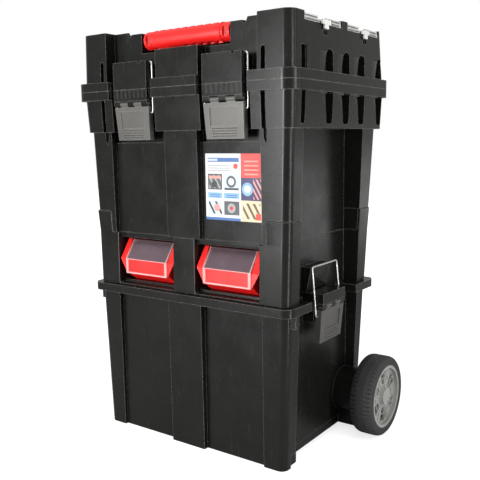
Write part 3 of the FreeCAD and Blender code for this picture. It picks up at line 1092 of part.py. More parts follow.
lid_outer = shell_block("lid_outer", LID_LOW, LID_TOP, ("lid_low_half", "lid_low_front", "lid_low_back"),
                        ("lid_high_half", "lid_high_front", "lid_high_back"), "skirt_radius")
lid_front_recess = box("lid_front_recess", "-front_pillar_inner", "front_pillar_inner", "-band_front",
                       f"-{LID_WALL_FRONT}", f"{LID_LOW} - 1", f"{LID_TOP} + 1")
lid_step_cut = box("lid_step_cut", "-front_pillar_inner", "front_pillar_inner", "-band_front", "band_back",
                   f"{LID_TOP} - lid_step", f"{LID_TOP} + 1")
handle_recess = box("handle_recess", "-handle_recess_half", "handle_recess_half", "-band_front",
                    "-handle_recess_back", HANDLE_FLOOR, f"{LID_TOP} + 1")
well_tools = []
for name, (near, far) in ORGANISERS.items():
    well_tools.append(box(f"well_{name}", "organiser_inner", "organiser_outer - wall", near, far, WELL_LOW,
                          f"{LID_TOP} + 1"))
    well_tools.append(box(f"well_seat_{name}", "organiser_inner - organiser_lid_thickness / 2 - 2 * side_gap",
                          "lid_low_half + 1", f"{near} - organiser_ledge", f"{far} + organiser_ledge",
                          ORGANISER_LEVEL, f"{LID_TOP} + 1"))
lid_shape = cut("lid_shape", lid_outer,
                [lid_front_recess, lid_step_cut, handle_recess] + both([groove] + slots + well_tools))

lid_band_block = rounded_pad("lid_band_block", "XY_Plane", "-band_half", "band_half", "-band_front",
                             "band_back", "band_radius", LID_LOW, "band_drop")
lid_window = box("lid_window", "latch_centre - latch_window", "latch_centre + latch_window",
                 "-band_front - 1", f"-{LID_WALL_FRONT}", f"{LID_LOW} - 1", f"{LID_LOW} + band_drop + 1")
lid_band = cut("lid_band", lid_band_block, both([lid_window]))
lid_centre = box("lid_centre", "-lid_centre_half", "lid_centre_half", "-lid_high_front",
                 f"-{LID_WALL_FRONT} + 1", LID_LOW, f"{LID_LOW} + lid_centre_height")

CATCH_TOP = f"({LID_LOW} + latch_block_height)"
catch_block = box("catch_block", "latch_centre - latch_block_half", "latch_centre + latch_block_half",
                  "-latch_block_front", f"-{LID_WALL_FRONT} + 1", LID_LOW, CATCH_TOP)
catch_channel = box("catch_channel", "latch_centre - latch_window", "latch_centre + latch_window",
                    "-latch_block_front + catch_plate", f"-{LID_WALL_FRONT}",
                    f"{BAR_LEVEL} - wire_radius - seat_gap", f"{CATCH_TOP} + 1")
front_catch = cut("front_catch", catch_block, [catch_channel])
lid_blocks = fuse("lid_blocks", [lid_shape, lid_band, lid_centre] + both([front_catch]))

lid_cavity_block = shell_block(
    "lid_cavity_block", f"{LID_LOW} - 1", f"{LID_TOP} - lid_step - lid_wall",
    (LID_CAVITY_HALF, f"{LID_WALL_FRONT} - lid_wall", "lid_low_back - lid_wall"),
    (LID_CAVITY_HALF, f"{LID_WALL_FRONT} - lid_wall", "lid_high_back - lid_wall"), "skirt_radius - lid_wall")
well_room = box("well_room", "organiser_inner - 2 * lid_wall", "lid_low_half",
                "-organiser_front - organiser_ledge - lid_wall",
                f"{ORGANISERS['rear'][1]} + organiser_ledge + lid_wall", f"{WELL_LOW} - lid_wall",
                LID_TOP)
handle_room = box("handle_room", "-handle_recess_half - lid_wall", "handle_recess_half + lid_wall",
                  "-band_front", "-handle_recess_back + lid_wall", f"{HANDLE_FLOOR} - lid_wall", LID_TOP)
lid_cavity = cut("lid_cavity", lid_cavity_block, both([well_room]) + [handle_room])
lid_relief = hinge_relief("lid_relief", "lid_hinge_inner - side_gap",
                          "lid_hinge_inner + lid_hinge_length + side_gap")
lid_hollow = cut("lid_hollow", lid_blocks, [lid_cavity] + both([lid_relief]))
lid_knuckle = knuckle("lid_knuckle", f"lid_hinge_inner + {HINGE_THIRD} + side_gap",
                      f"lid_hinge_inner + 2 * {HINGE_THIRD} - side_gap", f"{LID_LOW} + side_gap / 2",
                      f"{SEAM} + lid_knuckle_radius")
lid_whole = fuse("lid_whole", [lid_hollow] + both([lid_knuckle]))

GRIP_LEVEL = f"({LID_TOP} - grip_drop - grip_radius)"
handle_bore = rod("handle_bore", "x", "grip_half - 2 * handle_arm", "-handle_pivot", GRIP_LEVEL,
                  "handle_pin_radius + pin_gap", "3 * handle_arm")
lid_bores = [lid_pin_bore, handle_bore]
organiser_pins = []
for name, (near, far) in ORGANISERS.items():
    start = f"{near} - organiser_ledge - wall"
    length = "organiser_length + 2 * organiser_ledge + 2 * wall"
    lid_bores.append(rod(f"organiser_pin_bore_{name}", "y", "organiser_inner", start, ORGANISER_AXIS,
                         "hinge_pin_radius + pin_gap", length))
    organiser_pins.append(rod(f"organiser_pin_{name}", "y", "organiser_inner", start, ORGANISER_AXIS,
                              "hinge_pin_radius", length))
keep("toolbox_lid", cut("toolbox_lid_solid", lid_whole, both(lid_bores)))
keep("organiser_hinge_pins", group("organiser_pin_set", both(organiser_pins)))

# Clear organiser lids with their clips

CLIP_AXIS_OUT = "(organiser_outer - clip_thickness)"
for name, (near, far) in ORGANISERS.items():
    low = f"({ORGANISER_LEVEL} + seat_gap)"
    high = f"({ORGANISER_LEVEL} + seat_gap + organiser_lid_thickness)"
    start = f"{near} - organiser_ledge + side_gap"
    end = f"{far} + organiser_ledge - side_gap"
    middle = f"(({near}) + ({far})) / 2"
    lid_plate = box(f"organiser_plate_{name}", "organiser_inner", "organiser_outer", start, end, low, high)
    lid_under = box(f"organiser_under_{name}", "organiser_inner + organiser_lid_thickness",
                    "organiser_outer - 2 * clip_thickness - side_gap", f"{start} + organiser_lid_thickness",
                    f"{end} - organiser_lid_thickness", f"{low} - 1", f"{low} + organiser_lid_thickness / 2")
    barrel = rod(f"organiser_barrel_{name}", "y", "organiser_inner", start, ORGANISER_AXIS,
                 "organiser_lid_thickness / 2", "organiser_length + 2 * organiser_ledge - 2 * side_gap")
    pin_way = rod(f"organiser_pin_way_{name}", "y", "organiser_inner", start + " - 1", ORGANISER_AXIS,
                  "hinge_pin_radius + pin_gap", "organiser_length + 2 * organiser_ledge + 2")
    clip_way = box(f"clip_way_{name}", f"{CLIP_AXIS_OUT} - clip_thickness", "organiser_outer + 1",
                   f"{middle} - clip_width / 3 - side_gap", f"{middle} + clip_width / 3 + side_gap",
                   f"{low} - 1", f"{high} + 1")
    clip_bore = rod(f"clip_bore_{name}", "y", CLIP_AXIS_OUT, f"{middle} - clip_width / 3 - 2 * wall",
                    ORGANISER_AXIS, "clip_pin_radius + pin_gap", "2 * clip_width / 3 + 4 * wall")
    organiser = cut(f"organiser_{name}", fuse(f"organiser_blocks_{name}", [lid_plate, barrel]),
                    [lid_under, pin_way, clip_way, clip_bore])
    clip_barrel = rod(f"clip_barrel_{name}", "y", CLIP_AXIS_OUT, f"{middle} - clip_width / 3", ORGANISER_AXIS,
                      "organiser_lid_thickness / 2", "2 * clip_width / 3")
    clip_pin = rod(f"clip_pin_{name}", "y", CLIP_AXIS_OUT, f"{middle} - clip_width / 3 - wall",
                   ORGANISER_AXIS, "clip_pin_radius", "2 * clip_width / 3 + 2 * wall")
    clip_arm = box(f"clip_arm_{name}", CLIP_AXIS_OUT, "lid_low_half + side_gap",
                   f"{middle} - clip_width / 3", f"{middle} + clip_width / 3",
                   ORGANISER_AXIS, f"{ORGANISER_AXIS} + organiser_lid_thickness / 2")
    clip_plate = box(f"clip_plate_{name}", "lid_low_half + side_gap / 2", "lid_low_half + clip_thickness",
                     f"{middle} - clip_width / 2", f"{middle} + clip_width / 2",
                     f"{high} - clip_length / 2", high)
    clip_tongue = box(f"clip_tongue_{name}", "lid_low_half + side_gap / 2", "lid_low_half + clip_thickness",
                      f"{middle} - clip_width / 4", f"{middle} + clip_width / 4",
                      f"{high} - clip_length", high)
    clip = fuse(f"clip_{name}", [clip_barrel, clip_pin, clip_arm, clip_plate, clip_tongue])
    keep(f"organiser_lid_{name}_right", organiser)
    keep(f"organiser_lid_{name}_left", mirrored(organiser, f"organiser_{name}_left"))
    keep(f"organiser_clip_{name}_right", clip)
    keep(f"organiser_clip_{name}_left", mirrored(clip, f"clip_{name}_left"))

# Carry handle

grip = turned("grip", [
    ("-grip_half", "0"), ("-grip_half", "grip_radius - grip_ring"),
    ("-grip_half + grip_cap", "grip_radius - grip_ring"),
    ("-grip_half + grip_cap", "grip_radius - 2 * grip_ring"),
    ("-grip_half + grip_cap + 2 * grip_ring", "grip_radius - 2 * grip_ring"),
    ("-grip_half + grip_cap + 2 * grip_ring", "grip_radius"),
    ("grip_half - grip_cap - 2 * grip_ring", "grip_radius"),
    ("grip_half - grip_cap - 2 * grip_ring", "grip_radius - 2 * grip_ring"),
    ("grip_half - grip_cap", "grip_radius - 2 * grip_ring"),
    ("grip_half - grip_cap", "grip_radius - grip_ring"),
    ("grip_half", "grip_radius - grip_ring"), ("grip_half", "0"),
])
grip_placed = placed(grip, "grip_placed", "0", "-grip_front + grip_radius", GRIP_LEVEL)
arm = box("arm", "grip_half - handle_arm", "grip_half", "-grip_front + grip_radius", "-handle_pivot",
          f"{GRIP_LEVEL} - handle_arm_radius", f"{GRIP_LEVEL} + handle_arm_radius")
arm_end = rod("arm_end", "x", "grip_half - handle_arm", "-handle_pivot", GRIP_LEVEL,
              "handle_arm_radius", "handle_arm")
keep("carry_handle", cut("carry_handle_solid", fuse("handle_blocks", [grip_placed] + both([arm, arm_end])),
                         both([handle_bore])))
handle_pin = rod("handle_pin", "x", "grip_half - handle_arm + side_gap", "-handle_pivot", GRIP_LEVEL,
                 "handle_pin_radius", "handle_recess_half + lid_wall - grip_half + handle_arm - 2 * side_gap")
keep("carry_handle_pins", group("handle_pin_pair", both([handle_pin])))

# Build, check and write the sub-parts

doc.recompute()
for item in doc.Objects:
    if {"Invalid", "Error"} & set(item.State):
        raise RuntimeError(f"{item.Name} could not be built: {item.State}")
for part in SUBPARTS:
    if part.Shape.isNull() or not part.Shape.isValid() or not part.Shape.Solids:
        raise RuntimeError(f"{part.Label} has no sound solid")
os.makedirs("parts", exist_ok=True)
for part in SUBPARTS:
    part.Shape.exportStep(f"parts/{part.Label}.step")
    extent = part.Shape.BoundBox
    print(f"{part.Label:28s} {len(part.Shape.Solids):2d} {part.Shape.Volume / 1000:8.1f} cm3 "
          f"x {extent.XMin:7.1f} {extent.XMax:7.1f} y {extent.YMin:7.1f} {extent.YMax:7.1f} "
          f"z {extent.ZMin:7.1f} {extent.ZMax:7.1f}")
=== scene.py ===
import json
import math

import bmesh
import bpy
from mathutils import Matrix, Vector
from mathutils.bvhtree import BVHTree

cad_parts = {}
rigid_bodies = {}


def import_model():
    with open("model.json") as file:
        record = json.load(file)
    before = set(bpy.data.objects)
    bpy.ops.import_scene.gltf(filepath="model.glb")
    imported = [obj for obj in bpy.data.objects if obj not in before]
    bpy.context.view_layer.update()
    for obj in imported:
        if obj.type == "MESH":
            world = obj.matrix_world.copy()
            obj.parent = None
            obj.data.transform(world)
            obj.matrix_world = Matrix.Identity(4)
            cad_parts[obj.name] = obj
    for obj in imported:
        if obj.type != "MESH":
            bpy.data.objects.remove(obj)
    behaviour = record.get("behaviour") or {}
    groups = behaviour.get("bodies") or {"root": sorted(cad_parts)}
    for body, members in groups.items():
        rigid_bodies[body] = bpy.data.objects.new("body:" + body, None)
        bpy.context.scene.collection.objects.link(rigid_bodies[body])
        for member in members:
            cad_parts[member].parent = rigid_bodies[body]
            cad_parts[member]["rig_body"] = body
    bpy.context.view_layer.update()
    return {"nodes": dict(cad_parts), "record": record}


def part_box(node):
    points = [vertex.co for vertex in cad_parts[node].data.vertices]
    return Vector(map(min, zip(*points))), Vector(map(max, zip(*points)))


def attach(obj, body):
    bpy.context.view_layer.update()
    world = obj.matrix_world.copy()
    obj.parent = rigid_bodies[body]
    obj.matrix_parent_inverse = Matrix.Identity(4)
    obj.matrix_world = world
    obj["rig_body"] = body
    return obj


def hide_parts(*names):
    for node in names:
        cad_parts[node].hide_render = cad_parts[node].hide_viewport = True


MM = 0.001
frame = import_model()


def linked(name, bm):
    """A new object in the scene, made of a bmesh."""
    data = bpy.data.meshes.new(name)
    bm.to_mesh(data)
    bm.free()
    obj = bpy.data.objects.new(name, data)
    scene.collection.objects.link(obj)
    return obj


scene = bpy.context.scene
scene.view_settings.view_transform = "Standard"


# Camera, floor and light

AZIMUTH = math.radians(35.68)
ELEVATION = math.radians(8.16)
ROLL = math.radians(-0.78)
EYE = Vector((665.11, -932.55, 472.01)) * MM
LENS = 51.54
SENSOR = 36
SHIFT = (0.003, -0.0016)
FLOOR_GAP = 0.0006
FLOOR_HALF = 6.0
FLOOR_SIDES = 48
FLOOR_RINGS = (0.4, 0.8, 1.4, 2.4, FLOOR_HALF)
FLOOR_GREY = 0.6
FLOOR_FADE = {"From Min": 0.45, "From Max": 1.0, "To Min": 0.74, "To Max": 1.0}
AMBIENT_COLOUR = (1.0, 0.99, 0.96, 1)
AMBIENT_STRENGTH = 0.45
GLOSSY_SHARE = 0.3


def add_camera():
    """The camera at the photograph's viewing angle."""
    forward = Vector((-math.sin(AZIMUTH) * math.cos(ELEVATION),
                      math.cos(AZIMUTH) * math.cos(ELEVATION),
                      -math.sin(ELEVATION)))
    right = forward.cross(Vector((0, 0, 1))).normalized()
    up = right.cross(forward)
    rolled_right = right * math.cos(ROLL) + up * math.sin(ROLL)
    rolled_up = up * math.cos(ROLL) - right * math.sin(ROLL)
    data = bpy.data.cameras.new("camera")
    data.lens = LENS
    data.sensor_width = SENSOR
    data.shift_x, data.shift_y = SHIFT
    data.clip_start = 0.05
    camera = bpy.data.objects.new("camera", data)
    turn = Matrix((rolled_right, rolled_up, -forward)).transposed()
    camera.matrix_world = Matrix.Translation(EYE) @ turn.to_4x4()
    scene.collection.objects.link(camera)
    scene.camera = camera


def add_lamp(name, place, target, size, power):
    """A soft rectangular lamp that faces its target; places are in metres and power in watts."""
    data = bpy.data.lights.new(name, "AREA")
    data.shape = "RECTANGLE"
    data.size, data.size_y = size
    data.energy = power
    lamp = bpy.data.objects.new(name, data)
    aim = Vector(target) - Vector(place)
    lamp.matrix_world = (Matrix.Translation(place)
                         @ aim.to_track_quat("-Z", "Y").to_matrix().to_4x4())
    scene.collection.objects.link(lamp)


def white_for_the_camera(tree, surface, kind):
    """White where the camera or glass looks at a surface, and partly white in reflections."""
    nodes, links = tree.nodes, tree.links
    path = nodes.new("ShaderNodeLightPath")
    seen = nodes.new("ShaderNodeMath")
    seen.operation = "MAXIMUM"
    clear = nodes.new("ShaderNodeMath")
    clear.operation = "MAXIMUM"
    soft = nodes.new("ShaderNodeMath")
    soft.operation = "MULTIPLY"
    soft.inputs[1].default_value = GLOSSY_SHARE
    links.new(path.outputs["Is Glossy Ray"], soft.inputs[0])
    links.new(soft.outputs[0], clear.inputs[0])
    links.new(path.outputs["Is Transmission Ray"], clear.inputs[1])
    links.new(path.outputs["Is Camera Ray"], seen.inputs[0])
    links.new(clear.outputs[0], seen.inputs[1])
    white = nodes.new(kind)
    white.inputs["Color"].default_value = (1, 1, 1, 1)
    white.inputs["Strength"].default_value = 1
    mix = nodes.new("ShaderNodeMixShader")
    links.new(seen.outputs[0], mix.inputs[0])
    links.new(surface.outputs[0], mix.inputs[1])
    links.new(white.outputs[0], mix.inputs[2])
    return mix


def add_world():
    """A pale studio world that the camera sees as white."""
    world = bpy.data.worlds.new("studio")
    scene.world = world
    world.use_nodes = True
    tree = world.node_tree
    tree.nodes.clear()
    output = tree.nodes.new("ShaderNodeOutputWorld")
    ambient = tree.nodes.new("ShaderNodeBackground")
    ambient.inputs["Color"].default_value = AMBIENT_COLOUR
    ambient.inputs["Strength"].default_value = AMBIENT_STRENGTH
    mix = white_for_the_camera(tree, ambient, "ShaderNodeBackground")
    tree.links.new(mix.outputs[0], output.inputs["Surface"])


def add_floor():
    """A white floor that keeps a soft shadow under the object."""
    bm = bmesh.new()
    centre = bm.verts.new((0, 0, 0))
    last = None
    for radius in FLOOR_RINGS:
        ring = [bm.verts.new((radius * math.cos(2 * math.pi * i / FLOOR_SIDES),
                              radius * math.sin(2 * math.pi * i / FLOOR_SIDES), 0))
                for i in range(FLOOR_SIDES)]
        for i in range(FLOOR_SIDES):
            j = (i + 1) % FLOOR_SIDES
            if last is None:
                bm.faces.new((centre, ring[i], ring[j]))
            else:
                bm.faces.new((last[i], ring[i], ring[j], last[j]))
        last = ring
    floor = linked("floor", bm)
    floor.location.z = -FLOOR_GAP
    material = bpy.data.materials.new("floor_white")
    material.use_nodes = True
    tree = material.node_tree
    nodes, links = tree.nodes, tree.links
    nodes.clear()
    output = nodes.new("ShaderNodeOutputMaterial")
    matt = nodes.new("ShaderNodeBsdfDiffuse")
    matt.inputs["Color"].default_value = (FLOOR_GREY, FLOOR_GREY, FLOOR_GREY, 1)
    glow = nodes.new("ShaderNodeEmission")
    glow.inputs["Color"].default_value = (1, 1, 1, 1)
    place = nodes.new("ShaderNodeTexCoord")
    reach = nodes.new("ShaderNodeVectorMath")
    reach.operation = "LENGTH"
    links.new(place.outputs["Object"], reach.inputs[0])
    level = nodes.new("ShaderNodeMapRange")
    for key, number in FLOOR_FADE.items():
        level.inputs[key].default_value = number
    links.new(reach.outputs["Value"], level.inputs["Value"])
    path = nodes.new("ShaderNodeLightPath")
    strength = nodes.new("ShaderNodeMath")
    strength.operation = "MULTIPLY"
    links.new(level.outputs["Result"], strength.inputs[1])
    links.new(path.outputs["Is Camera Ray"], strength.inputs[0])
    links.new(strength.outputs[0], glow.inputs["Strength"])
    both = nodes.new("ShaderNodeAddShader")
    links.new(matt.outputs[0], both.inputs[0])
    links.new(glow.outputs[0], both.inputs[1])
    links.new(both.outputs[0], output.inputs["Surface"])
    floor.data.materials.append(material)


add_camera()
add_world()
add_floor()
# Each lamp's place, its target, its width and height, and its power
LAMPS = {
    "front_box": ((-0.62, -2.0, 0.38), (0.12, -0.15, 0.34), (0.42, 0.95), 42),
    "top_box": ((0.15, -0.9, 2.3), (0, 0, 0.4), (1.5, 1.1), 23),
    "side_box": ((2.3, -0.75, 0.4), (0.18, 0, 0.3), (0.24, 1.2), 6),
    "corner_edge_strip": ((0.78, -0.2, 0.38), (0.19, -0.16, 0.38), (0.04, 0.74), 3.2),
    "corner_strip": ((2.0, 0.8, 0.75), (0.19, -0.12, 0.35), (0.32, 1.1), 4),
    "low_side_box": ((1.05, 1.6, 0.18), (0.19, 0, 0.3), (0.9, 0.32), 1.6),
}
for lamp_name, (lamp_place, lamp_target, lamp_size, lamp_power) in LAMPS.items():
    add_lamp(lamp_name, lamp_place, lamp_target, lamp_size, lamp_power)


# Materials

def grey(level):
    """Linear value of a grey that shows as that level of 255."""
    share = level / 255
    return ((share + 0.055) / 1.055) ** 2.4 if share > 0.04045 else share / 12.92


def shade(red, green, blue):
    """Linear colour that shows as those levels of 255."""
    return (grey(red), grey(green), grey(blue), 1)


def noise(tree, coordinates, scale, detail, roughness):
    """Noise between 0 and 1; a larger scale gives finer noise."""
    node = tree.nodes.new("ShaderNodeTexNoise")
    node.inputs["Scale"].default_value = scale
    node.inputs["Detail"].default_value = detail
    node.inputs["Roughness"].default_value = roughness
    tree.links.new(coordinates, node.inputs["Vector"])
    return node.outputs["Fac"]


def remap(tree, value, low, high, to_low, to_high):
    """Move a value from one range to another, clamped at its ends."""
    node = tree.nodes.new("ShaderNodeMapRange")
    for key, number in (("From Min", low), ("From Max", high),
                        ("To Min", to_low), ("To Max", to_high)):
        node.inputs[key].default_value = number
    tree.links.new(value, node.inputs["Value"])
    return node.outputs["Result"]


def maths(tree, kind, first, second=0):
    """A sum of two values, each a number or a socket."""
    node = tree.nodes.new("ShaderNodeMath")
    node.operation = kind
    for i, value in enumerate((first, second)):
        if isinstance(value, (int, float)):
            node.inputs[i].default_value = value
        else:
            tree.links.new(value, node.inputs[i])
    return node.outputs[0]


def blend_colour(tree, share, first, second):
    """Blend two colours, each a tuple or a socket, by a share between 0 and 1."""
    node = tree.nodes.new("ShaderNodeMix")
    node.data_type = "RGBA"
    tree.links.new(share, node.inputs["Factor"])
    for key, value in (("A", first), ("B", second)):
        socket = [s for s in node.inputs if s.name == key and s.type == "RGBA"][0]
        if isinstance(value, tuple):
            socket.default_value = value
        else:
            tree.links.new(value, socket)
    return [s for s in node.outputs if s.type == "RGBA"][0]


def stretched(tree, coordinates, scales):
    """Coordinates scaled along each axis, which stretches a pattern."""
    node = tree.nodes.new("ShaderNodeMapping")
    node.inputs["Scale"].default_value = scales
    tree.links.new(coordinates, node.inputs["Vector"])
    return node.outputs[0]


def tinted(colour, share):
    """A colour made darker or lighter."""
    return tuple(min(1, c * share) for c in colour[:3]) + (1,)


def bumped(tree, shader, height, strength, distance):
    """Let a height pattern, in metres at its full value, shape the light on a surface."""
    bump = tree.nodes.new("ShaderNodeBump")
    bump.inputs["Strength"].default_value = strength
    bump.inputs["Distance"].default_value = distance
    tree.links.new(height, bump.inputs["Height"])
    tree.links.new(bump.outputs[0], shader.inputs["Normal"])


def new_material(name):
    """A material with one principled shader, and the object's own coordinates in metres."""
    material = bpy.data.materials.new(name)
    material.use_nodes = True
    tree = material.node_tree
    tree.nodes.clear()
    output = tree.nodes.new("ShaderNodeOutputMaterial")
    shader = tree.nodes.new("ShaderNodeBsdfPrincipled")
    tree.links.new(shader.outputs[0], output.inputs["Surface"])
    place = tree.nodes.new("ShaderNodeTexCoord").outputs["Object"]
    return material, tree, shader, place


# Width of the paler edges, which are partly wear and partly a painted highlight along the edges
EDGE_WEAR_AND_HIGHLIGHT_RADIUS = 0.0012


def edge_mask(tree, place):
    """About 1 along sharp edges, broken up by noise, and 0 on flat faces."""
    rounded = tree.nodes.new("ShaderNodeBevel")
    rounded.samples = 4
    rounded.inputs["Radius"].default_value = EDGE_WEAR_AND_HIGHLIGHT_RADIUS
    plain = tree.nodes.new("ShaderNodeNewGeometry")
    dot = tree.nodes.new("ShaderNodeVectorMath")
    dot.operation = "DOT_PRODUCT"
    tree.links.new(rounded.outputs[0], dot.inputs[0])
    tree.links.new(plain.outputs["Normal"], dot.inputs[1])
    edge = remap(tree, dot.outputs["Value"], 0.995, 0.86, 0.0, 1.0)
    broken = remap(tree, noise(tree, place, 160, 4, 0.65), 0.42, 0.62, 0.55, 1.0)
    return maths(tree, "MULTIPLY", edge, broken)


def moulded(name, colour, pale, roughness, grain=1900, depth=0.00002, edge_wear_and_highlight=0.5, scuffs=0.06,
            specular=0.5):
    """Moulded plastic: fine grain, faint flow marks, dull scuffs, and paler edges that are partly
    wear and partly a painted highlight.
    """
    material, tree, shader, place = new_material(name)
    cloudy = remap(tree, noise(tree, place, 9, 4, 0.55), 0.3, 0.7, 0.0, 1.0)
    body = blend_colour(tree, cloudy, tinted(colour, 0.86), tinted(colour, 1.12))
    streaks = noise(tree, stretched(tree, place, (210, 210, 34)), 1.0, 5, 0.7)
    scuffed = remap(tree, streaks, 0.6, 0.74, 0.0, scuffs)
    body = blend_colour(tree, scuffed, body, pale)
    # Paler sharp edges: partly wear, partly a painted highlight along the edges
    worn_and_highlit_edges = maths(tree, "MULTIPLY", edge_mask(tree, place), edge_wear_and_highlight)
    body = blend_colour(tree, worn_and_highlit_edges, body, pale)
    tree.links.new(body, shader.inputs["Base Color"])
    patchy = remap(tree, noise(tree, place, 26, 4, 0.6), 0.3, 0.7,
                   roughness - 0.05, roughness + 0.06)
    gloss = maths(tree, "ADD", patchy, maths(tree, "MULTIPLY", scuffed, 0.8))
    tree.links.new(gloss, shader.inputs["Roughness"])
    fine = noise(tree, place, grain, 2, 0.6)
    flow = noise(tree, stretched(tree, place, (22, 22, 60)), 1.0, 2, 0.4)
    height = maths(tree, "ADD", fine, maths(tree, "MULTIPLY", flow, 2.2))
    bumped(tree, shader, height, 0.55, depth)
    shader.inputs["Specular IOR Level"].default_value = specular
    return material


def clear_moulded(name, colour, alpha, roughness):
    """Clear moulded plastic: mostly see-through, slightly milky, with fine scratches."""
    material, tree, shader, place = new_material(name)
    haze = remap(tree, noise(tree, place, 34, 4, 0.6), 0.35, 0.7, 0.0, 1.0)
    milky = blend_colour(tree, haze, colour, tinted(colour, 1.12))
    tree.links.new(milky, shader.inputs["Base Color"])
    scratch = noise(tree, stretched(tree, place, (900, 120, 120)), 1.0, 4, 0.7)
    marks = remap(tree, scratch, 0.62, 0.75, 0.0, 0.22)
    tree.links.new(maths(tree, "ADD", marks, roughness), shader.inputs["Roughness"])
    cover = maths(tree, "ADD", remap(tree, haze, 0.0, 1.0, alpha - 0.05, alpha + 0.05), marks)
    tree.links.new(cover, shader.inputs["Alpha"])
    bumped(tree, shader, noise(tree, place, 240, 2, 0.5), 0.4, 0.0001)
    shader.inputs["Specular IOR Level"].default_value = 0.6
    return material


def metal(name, colour, roughness, lines=(60, 60, 60)):
    """Drawn or plated metal: fine lines along it and slight tarnish."""
    material, tree, shader, place = new_material(name)
    tarnish = remap(tree, noise(tree, place, 70, 4, 0.6), 0.4, 0.72, 0.0, 1.0)
    body = blend_colour(tree, tarnish, colour, tinted(colour, 0.72))
    tree.links.new(body, shader.inputs["Base Color"])
    gloss = remap(tree, tarnish, 0.0, 1.0, roughness, roughness + 0.14)
    tree.links.new(gloss, shader.inputs["Roughness"])
    shader.inputs["Metallic"].default_value = 1.0
    drawn = noise(tree, stretched(tree, place, lines), 22.0, 3, 0.6)
    bumped(tree, shader, drawn, 0.4, 0.00003)
    return material


# On the black plastic the strong pale edges are mostly a painted highlight along the edges, with
# some wear
BLACK = moulded("black_polypropylene", shade(20, 20, 19), shade(134, 134, 131), 0.27,
                edge_wear_and_highlight=0.8, specular=0.2)
TRIM = moulded("dark_trim_plastic", shade(16, 16, 17), shade(90, 90, 92), 0.42, specular=0.16)
LEVER = moulded("warm_grey_plastic", shade(80, 79, 75), shade(190, 188, 182), 0.40, edge_wear_and_highlight=0.5)
# A darker copy of the grey lever plastic for the side levers: painted shade
SHADED_SIDE_LEVER = moulded("grey_plastic_with_painted_shade", shade(62, 61, 59), shade(150, 148, 144), 0.40, edge_wear_and_highlight=0.5)
RED = moulded("red_plastic", shade(240, 30, 28), shade(255, 120, 110), 0.34, edge_wear_and_highlight=0.3, scuffs=0.04)
CLEAR = clear_moulded("clear_lid_plastic", shade(150, 150, 154), 0.4, 0.22)
STEEL = metal("bright_plated_steel", shade(196, 196, 194), 0.3)
RUBBER = moulded("tyre_rubber", shade(30, 30, 30), shade(96, 96, 94), 0.68,
                 grain=1300, depth=0.0001, edge_wear_and_highlight=0.45, scuffs=0.12)
RIM = moulded("rim_grey_plastic", shade(138, 138, 135), shade(196, 196, 192), 0.42, edge_wear_and_highlight=0.4)
BLACK_METAL = metal("black_painted_steel", shade(48, 48, 50), 0.34)
ALUMINIUM = metal("brushed_aluminium_tube", shade(184, 186, 190), 0.28, (140, 140, 4))
FINISH = {"black_plastic": BLACK, "dark_trim": TRIM, "grey_plastic": LEVER, "red_plastic": RED,
          "clear_plastic": CLEAR, "bright_steel": STEEL, "tyre": RUBBER, "rim_plastic": RIM,
          "label": BLACK, "black_metal": BLACK_METAL, "aluminium_tube": ALUMINIUM}


# Pieces

nodes = frame["nodes"]
BODY_OF = {name: nodes[name]["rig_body"] for name in nodes}
SLOT_OF = {part["node"]: part["material_slot"] for part in frame["record"]["subparts"]}


def dress(obj, material):
    """Make a material the only one of an object."""
    obj.data.materials.clear()
    obj.data.materials.append(material)


def finish_of(name):
    """The material of a node; the side levers take a darker copy of the grey lever plastic, as
    painted shade.
    """
    if name.startswith("side_lever") and "pins" not in name:
        return SHADED_SIDE_LEVER
    return FINISH[SLOT_OF[name]]


def bevelled(obj, width, segments=2, angle=28):
    """Round the edges sharper than an angle in degrees, by a width in millimetres."""
    bevel = obj.modifiers.new("edges", "BEVEL")
    bevel.width = width * MM
    bevel.segments = segments
    bevel.limit_method = "ANGLE"
    bevel.angle_limit = math.radians(angle)
    bevel.use_clamp_overlap = True
    bevel.miter_outer = "MITER_ARC"


def applied(obj):
    """Turn the object's modifiers into its mesh."""
    bpy.context.view_layer.update()
    graph = bpy.context.evaluated_depsgraph_get()
    data = bpy.data.meshes.new_from_object(obj.evaluated_get(graph))
    old = obj.data
    obj.modifiers.clear()
    obj.data = data
    bpy.data.meshes.remove(old)
    return obj


def shaded(obj, sharp=38):
    """Shade flat faces flat and rounded ones smooth; edges past an angle in degrees stay sharp."""
    bm = bmesh.new()
    bm.from_mesh(obj.data)
    for face in bm.faces:
        face.smooth = True
    for edge in bm.edges:
        edge.smooth = (len(edge.link_faces) == 2
                       and edge.calc_face_angle(0) < math.radians(sharp))
    bm.to_mesh(obj.data)
    bm.free()
    weighted = obj.modifiers.new("shading", "WEIGHTED_NORMAL")
    weighted.mode = "FACE_AREA"
    weighted.weight = 100
    weighted.keep_sharp = True
    return applied(obj)


MERGE_DISTANCE = 0.000004
FLAT_ANGLE = 0.6


def clean_copy(name):
    """A bmesh of a node with flat regions merged, so that bevels run along whole edges."""
    bm = bmesh.new()
    bm.from_mesh(nodes[name].data)
    bmesh.ops.remove_doubles(bm, verts=bm.verts, dist=MERGE_DISTANCE)
    bmesh.ops.dissolve_limit(bm, angle_limit=math.radians(FLAT_ANGLE),
                             verts=bm.verts, edges=bm.edges)
    return bm


def moulded_copy(name, width):
    """A piece that stands for a node, with rounded edges; a left lever mirrors the right one."""
    left = name.endswith("_lever_left")
    bm = clean_copy(name.replace("left", "right") if left else name)
    if left:
        bmesh.ops.scale(bm, vec=(-1, 1, 1), verts=bm.verts)
        bmesh.ops.reverse_faces(bm, faces=bm.faces)
    for face in bm.faces:
        face.smooth = True
    obj = linked(name + "_moulded", bm)
    bevelled(obj, width)
    shaded(applied(obj))
    return adopt(obj, BODY_OF[name], SLOT_OF[name], finish_of(name), name)


